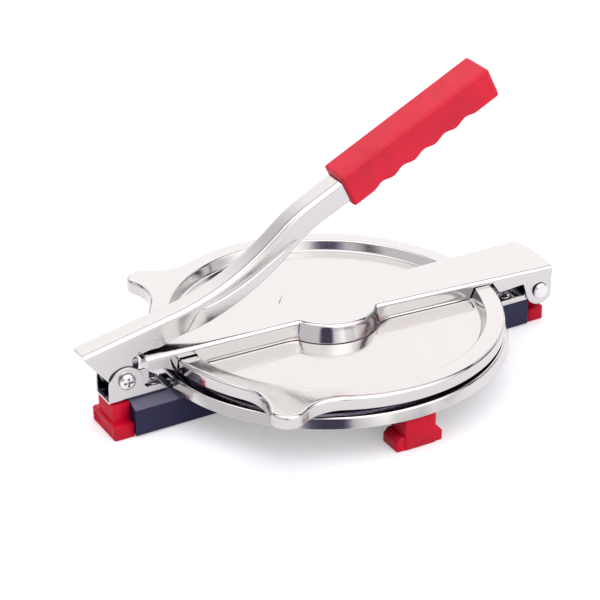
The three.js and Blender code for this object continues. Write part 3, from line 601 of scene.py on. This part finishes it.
# The front edge seen from above: nose, fillet, boss, fillet and a side that spreads to the hinge
slope = (arm["rightOut"] - arm["rightIn"]) / (arm["endX"] - arm["rightX"])
size = math.hypot(1, slope)
square = np.array([-slope, -1]) / size
along = np.array([1, -slope]) / size
distance = float(square @ np.array([arm["rightX"], -arm["rightIn"]]))
leftArc, leftAngle = bossFillet(np.array([0.0, -1.0]), np.array([-1.0, 0.0]), arm["noseHalf"], True)
rightArc, rightAngle = bossFillet(square, along, distance, False)
nose = easedLine([
    (arm["noseX"], -arm["noseHalf"] + arm["noseCut"]),
    (arm["noseX"] + arm["noseCut"], -arm["noseHalf"]),
    (arm["noseX"] + 20, -arm["noseHalf"]),
], arm["noseCorner"])
boss = arcLine((0, 0), arm["bossRadius"], leftAngle, rightAngle, 44)
hingeEnd = [(arm["endX"], -arm["rightOut"])]
armFront = np.vstack([nose, leftArc, boss[1:-1], rightArc, hingeEnd])

# The lower edge, and the places along the arm that either edge needs
lobeLine = arcLine((hinge["x"], hinge["z"]), arm["lobe"], -158, -30, 16)
lowerLine = easedLine([arm["lowerStart"], *arm["lowerCorners"], lobeLine[0]], arm["lowerRadii"], 4)
armLower = np.vstack([lowerLine, lobeLine[1:]])
stations = np.sort(np.concatenate([spacedLine(armFront, 4)[:, 0], armLower[:, 0]]))
stations = stations[np.concatenate([[True], np.diff(stations) > 0.05])]
stations[-1] = arm["endX"]
side = np.stack([stations, np.interp(stations, armFront[:, 0], armFront[:, 1])], axis=1)
along = np.gradient(side, axis=0)
out = np.stack([along[:, 1], -along[:, 0]], axis=1)
out = out / np.linalg.norm(out, axis=1, keepdims=True)
bend = sheetMetal["armBend"]
slope = (arm["noseTop"] - arm["endTop"]) / (arm["endX"] - arm["noseX"])
webTop = arm["noseTop"] - slope * (stations - arm["noseX"])
tip = -arm["noseX"]
webTop = webTop - arm["tipDrop"] * easedStep(-stations, tip - arm["tipRun"], tip)
lowEdge = np.interp(stations, armLower[:, 0], armLower[:, 1])
lowEdge = np.minimum(lowEdge, webTop - bend - arm["leastFlange"])
atBoss = 1 - easedStep(np.abs(stations), *arm["bossEnd"])
inDish = 1 - easedStep(np.abs(stations), *arm["dishEnd"])

# Flat top of the arm, from the bend to the middle, bowed out at the hinge end
webShare = np.linspace(1, 0, 7)
webIn = side - out * bend
webY = webIn[:, 1:] * webShare[None, :]
bow = arm["endBulge"] * easedStep(stations, arm["bulgeStart"], arm["endX"])[:, None]
webX = webIn[:, :1] + bow * (1 - webShare[None, :] ** 2)
webZ = np.broadcast_to(webTop[:, None], webY.shape)
halfWeb = np.stack([webX, webY, webZ], axis=-1)

# Bend along each side
bendAngle = np.linspace(0, math.pi / 2, 7)[1:]
bendPlan = webIn[:, None, :] + out[:, None, :] * (bend * np.sin(bendAngle))[None, :, None]
bendZ = webTop[:, None] - bend * (1 - np.cos(bendAngle))[None, :]
bendRows = np.concatenate([bendPlan, bendZ[..., None]], axis=2)

# Flange from the bend down to the lower edge, leaning out at the boss and with a lip in the dish
drop = np.array([0.2, 0.4, 0.6, 0.75, 0.86, 0.93, 1.0])
lipShare = np.array([0, 0, 0, 0, 0.25, 0.6, 1.0])
flangeZ = (webTop - bend)[:, None] * (1 - drop) + lowEdge[:, None] * drop
hasLip = inDish * (1 - atBoss)
lean = arm["bossDraft"] * atBoss[:, None] * drop + arm["lip"] * hasLip[:, None] * lipShare
flangePlan = side[:, None, :] + out[:, None, :] * lean[..., None]
flangeRows = np.concatenate([flangePlan, flangeZ[..., None]], axis=2)

frontHalf = np.concatenate([flangeRows[:, ::-1], bendRows[:, ::-1], halfWeb], axis=1)
backHalf = frontHalf[:, ::-1] * np.array([1, -1, 1])
armPoints = np.concatenate([frontHalf, backHalf[:, 1:]], axis=1)
asSheet(addPiece("top_arm_sheet", "upper_plate", stripSteel, [gridPatch(armPoints)],
                 "top_arm", (0, 0, 0), True), sheetMetal["armEdge"])
print("arm made")


# Back of a folded channel between its bends, along an edge line of X and Z.
def channelBack(edge, flatHalf):
    back = np.zeros((len(edge), 7, 3))
    back[..., 0] = edge[:, :1]
    back[..., 1] = np.linspace(-1, 1, 7) * flatHalf
    back[..., 2] = edge[:, 1:]
    return gridPatch(back)


# A folded channel. Its back runs along an edge line, a bend on each side turns it by a right
# angle, and a flat cheek fills the outline between the bend and the free edge.
def channelPatches(edge, free, halfWidth, inward, bendRadius):
    patches = [channelBack(edge, halfWidth - bendRadius)]
    angle = np.linspace(0, math.pi / 2, 7)
    depth = bendRadius * (1 - np.cos(angle))
    for sign in (-1, 1):
        turned = np.zeros((len(edge), 7, 3))
        turned[..., 0] = edge[:, :1] + inward[:, :1] * depth
        turned[..., 1] = sign * (halfWidth - bendRadius + bendRadius * np.sin(angle))
        turned[..., 2] = edge[:, 1:] + inward[:, 1:] * depth
        patches.append(gridPatch(turned))
        rim = np.vstack([turned[:, -1, ::2], free])
        cheek = np.stack([rim[:, 0], np.full(len(rim), sign * halfWidth), rim[:, 1]], axis=1)
        patches.append(flatPatch(cheek))
    return patches


# A bracket is a channel whose back is a level floor.
def bracketPatches(bracket, free):
    floor = np.full((14, 2), bracket["low"])
    floor[:, 0] = np.linspace(bracket["start"], bracket["end"], 14)
    upward = np.tile([0.0, 1.0], (14, 1))
    return channelPatches(floor, free, bracket["half"], upward, sheetMetal["bracketBend"])


# Lever bracket: a narrow channel, floor down, with lobes at the pivot
leverBracket = {
    "start": -129.8, "end": -97.4, "low": 18.3, "lip": 23.0, "half": 8.1, "lobe": 9.7,
    "lobeZ": 27.4, "taper": 4.0, "corners": (1.5, 3.0),
}
lobeLine = arcLine((pivot["x"], leverBracket["lobeZ"]), leverBracket["lobe"], 8, 178, 20)
leverFree = np.vstack([
    easedLine([
        (leverBracket["end"], leverBracket["low"] + sheetMetal["bracketBend"]),
        (leverBracket["end"] - leverBracket["taper"], leverBracket["lip"]),
        (lobeLine[0, 0] + 0.2, leverBracket["lip"]),
        lobeLine[0],
    ], leverBracket["corners"])[1:],
    lobeLine[1:],
])
asSheet(addPiece("lever_bracket_sheet", "base", bracketSteel,
                 bracketPatches(leverBracket, leverFree), "lever_bracket", (-115, 0, 40)))

# Hinge bracket: a wide channel, floor down, with a low lip that rises to the pin
hingeBracket = {
    "start": 98.6, "end": 131.2, "low": 15.8, "lip": 19.6, "half": 16.4, "lobe": 7.2,
    "lobeGap": 0.8, "corners": (2.2, 1.5),
}
lobeLine = arcLine((hinge["x"], hinge["z"]), hingeBracket["lobe"], 0, 170, 20)
hingeFree = np.vstack([
    lobeLine,
    easedLine([
        lobeLine[-1] - (0.05, 0.3),
        (hinge["x"] - hingeBracket["lobe"] - hingeBracket["lobeGap"], hingeBracket["lip"]),
        (hingeBracket["start"], hingeBracket["lip"]),
        (hingeBracket["start"], hingeBracket["low"] + sheetMetal["bracketBend"]),
    ], hingeBracket["corners"])[:-1],
])
asSheet(addPiece("hinge_bracket_sheet", "base", bracketSteel,
                 bracketPatches(hingeBracket, hingeFree), "hinge_bracket", (115, 0, 40)))
print("brackets made")

# Hand lever: a channel, back up, whose direction turns evenly along two bends. Its jaw takes the
# arm's nose, over a cam about the pivot. A pressed crease runs along its sides, at a depth given
# for places along it, and below the crease the sides flare.
lever = {
    "tail": (-141.8, 48.5), "half": 6.6, "rootLength": 52.9, "rootAngle": 11.5, "firstBend": 125,
    "steepAngle": 39, "steepLength": 10, "secondBend": 88, "gripAngle": 26, "neck": 18, "tongue": 79,
    "depth": 12.8, "heel": 8.4, "cam": 13.2, "camAbove": 3.4, "camBelow": 5.4,
    "jawCorners": ((-100.5, 42.7), (-106.0, 42.8), (-115.5, 40.9), (-115.5, 33.3)),
    "jawRadii": (1.0, 2.0, 1.2, 1.2), "flare": 0.12, "grooveDepth": 0.4, "grooveHalf": 0.8,
    "grooveStart": (60, 72), "grooveEnd": (112, 126),
    "creasePlaces": (54, 57, 61, 66, 78, 92, 106, 120, 132, 300),
    "creaseDepths": (12.8, 11.0, 7.0, 4.0, 5.8, 6.8, 7.6, 9.8, 12.8, 12.8),
}
firstRun = lever["firstBend"] * math.radians(lever["steepAngle"] - lever["rootAngle"])
secondRun = lever["secondBend"] * math.radians(lever["steepAngle"] - lever["gripAngle"])
leverMarks = np.cumsum([0, lever["rootLength"], firstRun, lever["steepLength"], secondRun,
                        lever["neck"], lever["tongue"]])
leverAngles = [lever["rootAngle"], lever["rootAngle"], lever["steepAngle"], lever["steepAngle"],
               lever["gripAngle"], lever["gripAngle"], lever["gripAngle"]]


# The lever's upper edge: the sum of short steps, each along the direction it has there.
def leverLine(distance):
    fine = np.linspace(0, leverMarks[-1], 4001)
    angle = np.radians(np.interp(fine, leverMarks, leverAngles))
    middle = (angle[1:] + angle[:-1]) / 2
    step = fine[1]
    x = lever["tail"][0] + np.concatenate([[0], np.cumsum(step * np.cos(middle))])
    z = lever["tail"][1] + np.concatenate([[0], np.cumsum(step * np.sin(middle))])
    heading = np.radians(np.interp(distance, leverMarks, leverAngles))
    edge = np.stack([np.interp(distance, fine, x), np.interp(distance, fine, z)], axis=1)
    inward = np.stack([np.sin(heading), -np.cos(heading)], axis=1)
    return edge, inward


rootPlaces = np.linspace(0, lever["rootLength"], 24)
rootEdge, rootIn = leverLine(rootPlaces)
leverBend = sheetMetal["leverBend"]
depthRows = np.linspace(leverBend, lever["depth"], 57)
rootEnd = rootEdge[-1] + rootIn[-1] * depthRows[:, None]
camHigh = math.degrees(math.asin(lever["camAbove"] / lever["cam"]))
camLow = -math.degrees(math.asin(lever["camBelow"] / lever["cam"]))
cam = arcLine((pivot["x"], pivot["z"]), lever["cam"], camHigh, camLow, 8)
heel = arcLine((pivot["x"], pivot["z"]), lever["heel"], -60, -180, 14)
jawLine = easedLine([rootEnd[-1], *lever["jawCorners"], cam[0]], lever["jawRadii"], 5)
rootFree = np.vstack([rootEnd[1:-1], jawLine[:-1], cam, heel])
rootPatches = channelPatches(rootEdge, rootFree, lever["half"], rootIn, leverBend)

channelPlaces = spacedLine(leverMarks[1:, None], 1.1)[:, 0]
channelEdge, channelIn = leverLine(channelPlaces)
channelSheet = [channelBack(channelEdge, lever["half"] - leverBend)]
bendTurn = bendAngle[:-1]
depth = np.concatenate([[0], leverBend * (1 - np.cos(bendTurn)), depthRows])
outAcross = np.concatenate([[0], leverBend * np.sin(bendTurn), np.full(len(depthRows), leverBend)])
creaseAt = np.interp(channelPlaces, lever["creasePlaces"], lever["creaseDepths"])
pastCrease = depth[None, :] - creaseAt[:, None]
fade = easedStep(channelPlaces, *lever["grooveStart"])
fade = fade * (1 - easedStep(channelPlaces, *lever["grooveEnd"]))
groove = lever["grooveDepth"] * np.exp(-(pastCrease / lever["grooveHalf"]) ** 2) * fade[:, None]
spread = outAcross + lever["flare"] * np.maximum(pastCrease, 0) - groove
for sign in (-1, 1):
    cheeks = np.zeros((len(channelEdge), len(depth), 3))
    cheeks[..., 0] = channelEdge[:, :1] + channelIn[:, :1] * depth
    cheeks[..., 1] = sign * (lever["half"] - leverBend + spread)
    cheeks[..., 2] = channelEdge[:, 1:] + channelIn[:, 1:] * depth
    channelSheet.append(gridPatch(cheeks))
leverPiece = addPiece("lever_sheet", "hand_lever", stripSteel,
                      rootPatches + channelSheet, "lever")
asSheet(leverPiece)
print("lever made")

# Grip: rounded sections along a straight line, with finger hollows on its underside
grip = {
    "length": 97.8, "mouthHeight": 19.9, "endHeight": 18.4, "mouthHalf": 9.4, "endHalf": 10.3,
    "cover": 3.7, "corner": 1.7, "endCorner": 0.6, "leastCorner": 0.5, "edge": 0.4,
    "hollowStart": 19.6, "hollowPitch": 13.9, "hollowCount": 5, "hollowDepth": 1.7,
    "slotHalf": 6.66, "slotTop": 3.65, "slotLow": 16.7, "slotCorner": 1.0, "slotDepth": 78.0,
    "mouthHollow": 1.2, "mouthHigh": 0.8, "mouthRun": 8,
}


# Rounded box sections: four corner arcs, each of one radius, for every place along the grip.
def boxSections(halfWidth, top, low, radius):
    angle = np.radians(np.linspace(0, 90, 8))[None, :]
    across = halfWidth[:, None] - radius[:, None]
    upper = top[:, None] - radius[:, None]
    lower = low[:, None] + radius[:, None]
    cosine = radius[:, None] * np.cos(angle)
    sine = radius[:, None] * np.sin(angle)
    y = np.concatenate([across + cosine, -across - sine, -across - cosine, across + sine], axis=1)
    z = np.concatenate([upper + sine, upper + cosine, lower - sine, lower - cosine], axis=1)
    return y, z


gripStart = leverLine(leverMarks[5:6])[0]
gripAngle = math.radians(lever["gripAngle"])
bodyPlaces = np.linspace(0, grip["length"], 110)
roundEnd = grip["corner"]
fromStart = np.clip(roundEnd - bodyPlaces, 0, None)
fromEnd = np.clip(bodyPlaces - (grip["length"] - roundEnd), 0, None)
nearEdge = np.maximum(fromStart, fromEnd)
drawIn = roundEnd - np.sqrt(np.maximum(roundEnd ** 2 - nearEdge ** 2, 0))
shareAlong = bodyPlaces / grip["length"]
wider = grip["endHalf"] - grip["mouthHalf"]
lower = grip["endHeight"] - grip["mouthHeight"]
halfWidth = grip["mouthHalf"] + wider * shareAlong - drawIn
gripLow = -(grip["mouthHeight"] + lower * shareAlong)
hollowPlace = (bodyPlaces - grip["hollowStart"]) / grip["hollowPitch"]
inHollows = (hollowPlace > -0.5) & (hollowPlace < grip["hollowCount"] - 0.5)
hollow = np.where(inHollows, 0.5 + 0.5 * np.cos(2 * math.pi * hollowPlace), 0)
gripLow = gripLow + grip["hollowDepth"] * hollow + drawIn
corner = grip["corner"] - grip["endCorner"] * drawIn
bodyY, bodyZ = boxSections(halfWidth, -drawIn, gripLow, np.maximum(corner, grip["leastCorner"]))
slotPlaces = np.array([grip["slotDepth"], 0.0])
slotY, slotZ = boxSections(np.full(2, grip["slotHalf"]), np.full(2, -grip["slotTop"]),
                           np.full(2, -grip["slotLow"]), np.full(2, grip["slotCorner"]))
allPlaces = np.concatenate([slotPlaces, bodyPlaces])
allY = np.concatenate([slotY, bodyY])
allZ = np.concatenate([slotZ, bodyZ])


# Places grip points given as distance along, across and height over its top.
def alongGrip(distance, across, height):
    baseX = gripStart[0, 0] - grip["cover"] * math.sin(gripAngle)
    baseZ = gripStart[0, 1] + grip["cover"] * math.cos(gripAngle)
    x = baseX + distance * math.cos(gripAngle) - height * math.sin(gripAngle)
    z = baseZ + distance * math.sin(gripAngle) + height * math.cos(gripAngle)
    return np.stack([x, across, z], axis=-1)


# The mouth is hollowed: most a little above its middle, and fading out along the grip.
depthShare = np.clip(-allZ / grip["mouthHeight"], 0, 1)
atMouth = 1 - easedStep(allPlaces, 0, grip["mouthRun"])
sunkShare = np.sin(math.pi * depthShare ** grip["mouthHigh"])
mouthHollow = grip["mouthHollow"] * sunkShare * atMouth[:, None]
gripPoints = alongGrip(allPlaces[:, None] + mouthHollow, allY, allZ)
gripPatches = [gridPatch(gripPoints, isRing=True), flatPatch(gripPoints[0]), flatPatch(gripPoints[-1])]
gripPiece = addPiece("grip_body", "hand_lever", gripPlastic, gripPatches, "grip")
softenEdges(gripPiece, grip["edge"])
print("grip made")

# Feet: a rounded block, with a sunk panel on its end at the long bar, and a narrower neck up to
# its seat. A tongue reaches into the bar.
feet = {
    "width": 27.0, "height": 8.0, "neck": 18.0, "corner": 1.3, "neckCorner": 0.8, "seatGap": 0.3,
    "panelHalf": 10.0, "panelDepth": 0.5, "panelEase": 0.3, "slope": 0.6, "wingSlope": 2.7,
    "tongueHalf": 8.0, "tongueIn": 11.0, "tongueOut": 2.5, "tongueCorner": 0.3,
}
longBarFoot = {"barEnd": 119.2, "depth": 10.9, "neckSetBack": 1.7, "tongue": (3.2, 8.2)}
shortBarFoot = {"barEnd": 80.0, "depth": 13.9, "neckSetBack": -0.7, "tongue": (11.2, 14.2)}


# A plan outline of one level of a foot, facing out along X: square at the bar, rounded at its
# far corners, and with a panel of some depth in the middle of its far side.
def footLevel(start, end, halfWidth, corner, panel):
    line = easedLine([
        (start, -halfWidth), (end, -halfWidth), (end, halfWidth), (start, halfWidth),
    ], corner, 6)
    ease = feet["panelEase"]
    panelHalf = min(feet["panelHalf"], halfWidth - corner - 0.4)
    panelLine = np.array([(end, -panelHalf - ease), (end - panel, -panelHalf),
                          (end - panel, panelHalf), (end, panelHalf + ease)])
    return np.vstack([line[:len(line) // 2], panelLine, line[len(line) // 2:]])


# A closed body from levels of height, half width, far end, corner radius and panel depth.
def footBody(start, levels, turn):
    rings = np.stack([footLevel(start, far, wide, ease, panel) for _, wide, far, ease, panel in levels])
    height = np.array([level[0] for level in levels])[:, None, None]
    points = np.concatenate([rings, np.broadcast_to(height, rings.shape[:2] + (1,))], axis=2)
    points = aroundAxis(points, turn)
    return [gridPatch(points, isRing=True), flatPatch(points[0]), flatPatch(points[-1])]


# Levels run upwards. The small steps at their ends round the edges.
def footPatches(foot, seat, turn):
    start = foot["barEnd"] + feet["seatGap"]
    end = start + foot["depth"]
    half = feet["width"] / 2
    neck = feet["neck"] / 2
    corner = feet["corner"]
    neckCorner = feet["neckCorner"]
    high = feet["height"]
    top = seat - feet["seatGap"]
    hasPanel = foot["neckSetBack"] > 0
    sunk = feet["panelDepth"] if hasPanel else 0
    slope = feet["slope"] if hasPanel else feet["wingSlope"]
    blockFar = min(end, end + foot["neckSetBack"])
    block = [
        (0.0, half - 0.6, blockFar - 0.6, corner * 0.6, 0),
        (0.2, half - 0.2, blockFar - 0.2, corner * 0.9, 0),
        (0.6, half, blockFar, corner, 0),
        (1.5, half, blockFar, corner, 0),
        (1.8, half, blockFar, corner, sunk),
        (high - slope - 1.3, half, blockFar, corner, sunk),
        (high - slope - 1.0, half, blockFar, corner, 0),
        (high - slope, half, blockFar, corner, 0),
        (high - 0.2, half - slope + 0.4, blockFar - 0.1, corner, 0),
        (high, half - slope, blockFar - 0.6, corner * 0.6, 0),
    ]
    neckFar = end - max(foot["neckSetBack"], 0)
    column = [
        (0.15, neck - 0.3, neckFar - 0.5, neckCorner * 0.7, 0),
        (0.6, neck, neckFar, neckCorner, 0),
        (high, neck, neckFar, neckCorner, 0),
        (top - 0.6, neck, neckFar, neckCorner, 0),
        (top - 0.15, neck - 0.2, neckFar - 0.2, neckCorner * 0.8, 0),
        (top, neck - 0.6, neckFar - 0.6, neckCorner * 0.5, 0),
    ]
    tongueEnd = start + feet["tongueOut"]
    tongue = [(level, feet["tongueHalf"], tongueEnd, feet["tongueCorner"], 0)
              for level in foot["tongue"]]
    patches = footBody(start, block, turn) + footBody(start, column, turn)
    return patches + footBody(foot["barEnd"] - feet["tongueIn"], tongue, turn)


for name, foot, seat, turn in (
    ("foot_right", longBarFoot, 15.8, 0), ("foot_back", shortBarFoot, 18.0, 90),
    ("foot_left", longBarFoot, 18.3, 180), ("foot_front", shortBarFoot, 18.0, 270),
):
    addPiece(name + "_rubber", "base", footRubber, footPatches(foot, seat, turn), name)
print("feet made")

# Screws stand on their own axis, with the underside of the head at zero. Each is a turned
# profile whose crown is sunk along a cross.
bracketScrew = {
    "shank": 1.9, "head": 3.5, "rise": 2.0, "slotHalf": 0.5, "slotReach": 2.0, "slotDepth": 1.4,
}
pivotScrew = {
    "shank": 2.5, "head": 4.3, "rise": 2.6, "slotHalf": 0.6, "slotReach": 2.6, "slotDepth": 2.2,
}
bracketScrewPlaces = {
    "lever_bracket_screw_1": (-113.0, 0, 19.8), "lever_bracket_screw_2": (-102.5, 0, 19.8),
    "hinge_bracket_screw_front": (107.0, -9.0, 17.3), "hinge_bracket_screw_back": (107.0, 9.0, 17.3),
}
screws = {
    "bracketLength": 7.0, "plateLength": 6.9, "pivotLength": 22.0,
    "platePlace": (55.0, 0, 14.7), "pivotY": -8.4,
    "headSide": 0.45, "crownPower": 0.7, "slotEase": 0.1, "slotTaper": 0.35,
}


def screwPoints(screw, length):
    crownStart = screw["rise"] * screws["headSide"]
    crownAngle = np.linspace(0, math.pi / 2, 14)
    crownR = screw["head"] * np.cos(crownAngle) ** screws["crownPower"]
    crownZ = crownStart + (screw["rise"] - crownStart) * np.sin(crownAngle)
    top = screw["head"] * np.linspace(1, 0, 72)
    topZ = np.interp(top, crownR[::-1], crownZ[::-1])
    under = np.array([
        [0, -length], [screw["shank"] * 0.7, -length], [screw["shank"], -length + 0.5],
        [screw["shank"], 0], [screw["head"] * 0.97, 0], [screw["head"], 0.15],
    ])
    profile = np.concatenate([under, np.stack([top, topZ], axis=1)])
    angle = np.linspace(0, 2 * math.pi, 192, endpoint=False)
    x = profile[:, :1] * np.cos(angle)
    y = profile[:, :1] * np.sin(angle)
    nearArm = np.minimum(np.abs(x), np.abs(y))
    farArm = np.maximum(np.abs(x), np.abs(y))
    ease = screws["slotEase"]
    slot = 1 - easedStep(nearArm, screw["slotHalf"] - ease, screw["slotHalf"] + ease)
    slot = slot * (1 - easedStep(farArm, screw["slotReach"] - 2 * ease, screw["slotReach"]))
    isTop = np.arange(len(profile)) >= len(under)
    taper = 1 - screws["slotTaper"] * farArm / screw["slotReach"]
    sunk = isTop[:, None] * slot * screw["slotDepth"] * taper
    return np.stack([x, y, profile[:, 1:2] - sunk], axis=-1)


# Lays points that stand on the Z axis along another direction from a place.
def layAlong(points, direction, place):
    if direction == "front":
        points = np.stack([points[..., 0], -points[..., 2], points[..., 1]], axis=-1)
    elif direction == "down":
        points = points * np.array([1, -1, -1])
    return points + np.array(place)


def addScrew(name, points):
    patches = [gridPatch(points, isRing=True)]
    addPiece(name + "_head", "base", screwSteel, patches, name)


for name, place in bracketScrewPlaces.items():
    addScrew(name, layAlong(screwPoints(bracketScrew, screws["bracketLength"]), "up", place))
for side, turn in (("right", 0), ("back", 90), ("left", 180), ("front", 270)):
    points = screwPoints(bracketScrew, screws["plateLength"])
    points = layAlong(points, "down", screws["platePlace"])
    addScrew("plate_screw_" + side, aroundAxis(points, turn))
points = screwPoints(pivotScrew, screws["pivotLength"])
addScrew("pivot_screw", layAlong(points, "front", (pivot["x"], screws["pivotY"], pivot["z"])))

# Hinge rivet: a shank between two low domed heads
rivet = {"half": 19.0, "shank": 3.0, "head": 4.5, "rise": 2.0, "headSide": 0.5, "edge": 0.2}
dome = arcLine((0, 0), 1, 0, 90, 10)
domeHeight = (rivet["rise"] - rivet["headSide"]) * dome[:, 1]
headLine = np.stack([
    rivet["head"] * dome[:, 0] ** 0.8,
    rivet["half"] + rivet["headSide"] + domeHeight,
], axis=1)
halfRivet = np.vstack([[rivet["shank"], rivet["half"]], [rivet["head"], rivet["half"]], headLine])
rivetProfile = np.vstack([halfRivet[::-1] * (1, -1), halfRivet])
rivetPoints, rivetFaces = turnedPatch(rivetProfile, 64)
rivetPoints = layAlong(rivetPoints, "front", (hinge["x"], 0, hinge["z"]))
rivetPiece = addPiece("hinge_pin_rivet", "base", screwSteel,
                      [(rivetPoints, rivetFaces)], "hinge_pin")
softenEdges(rivetPiece, rivet["edge"])
print("screws and rivet made")

# CAD nodes whose shapes are right, with rounded edges and their finish
softenedNode("base_frame", "base", navyPlastic, 0.5)
for side in ("right", "back", "left", "front"):
    softenedNode("plate_boss_" + side, "base", plateSteel, 0.25)
softenedNode("pivot_nut", "base", screwSteel, 0.35)
softenedNode("pivot_sleeve", "base", screwSteel, 0.15)
softenedNode("hinge_sleeve", "base", screwSteel, 0.15)
print("CAD nodes finished")
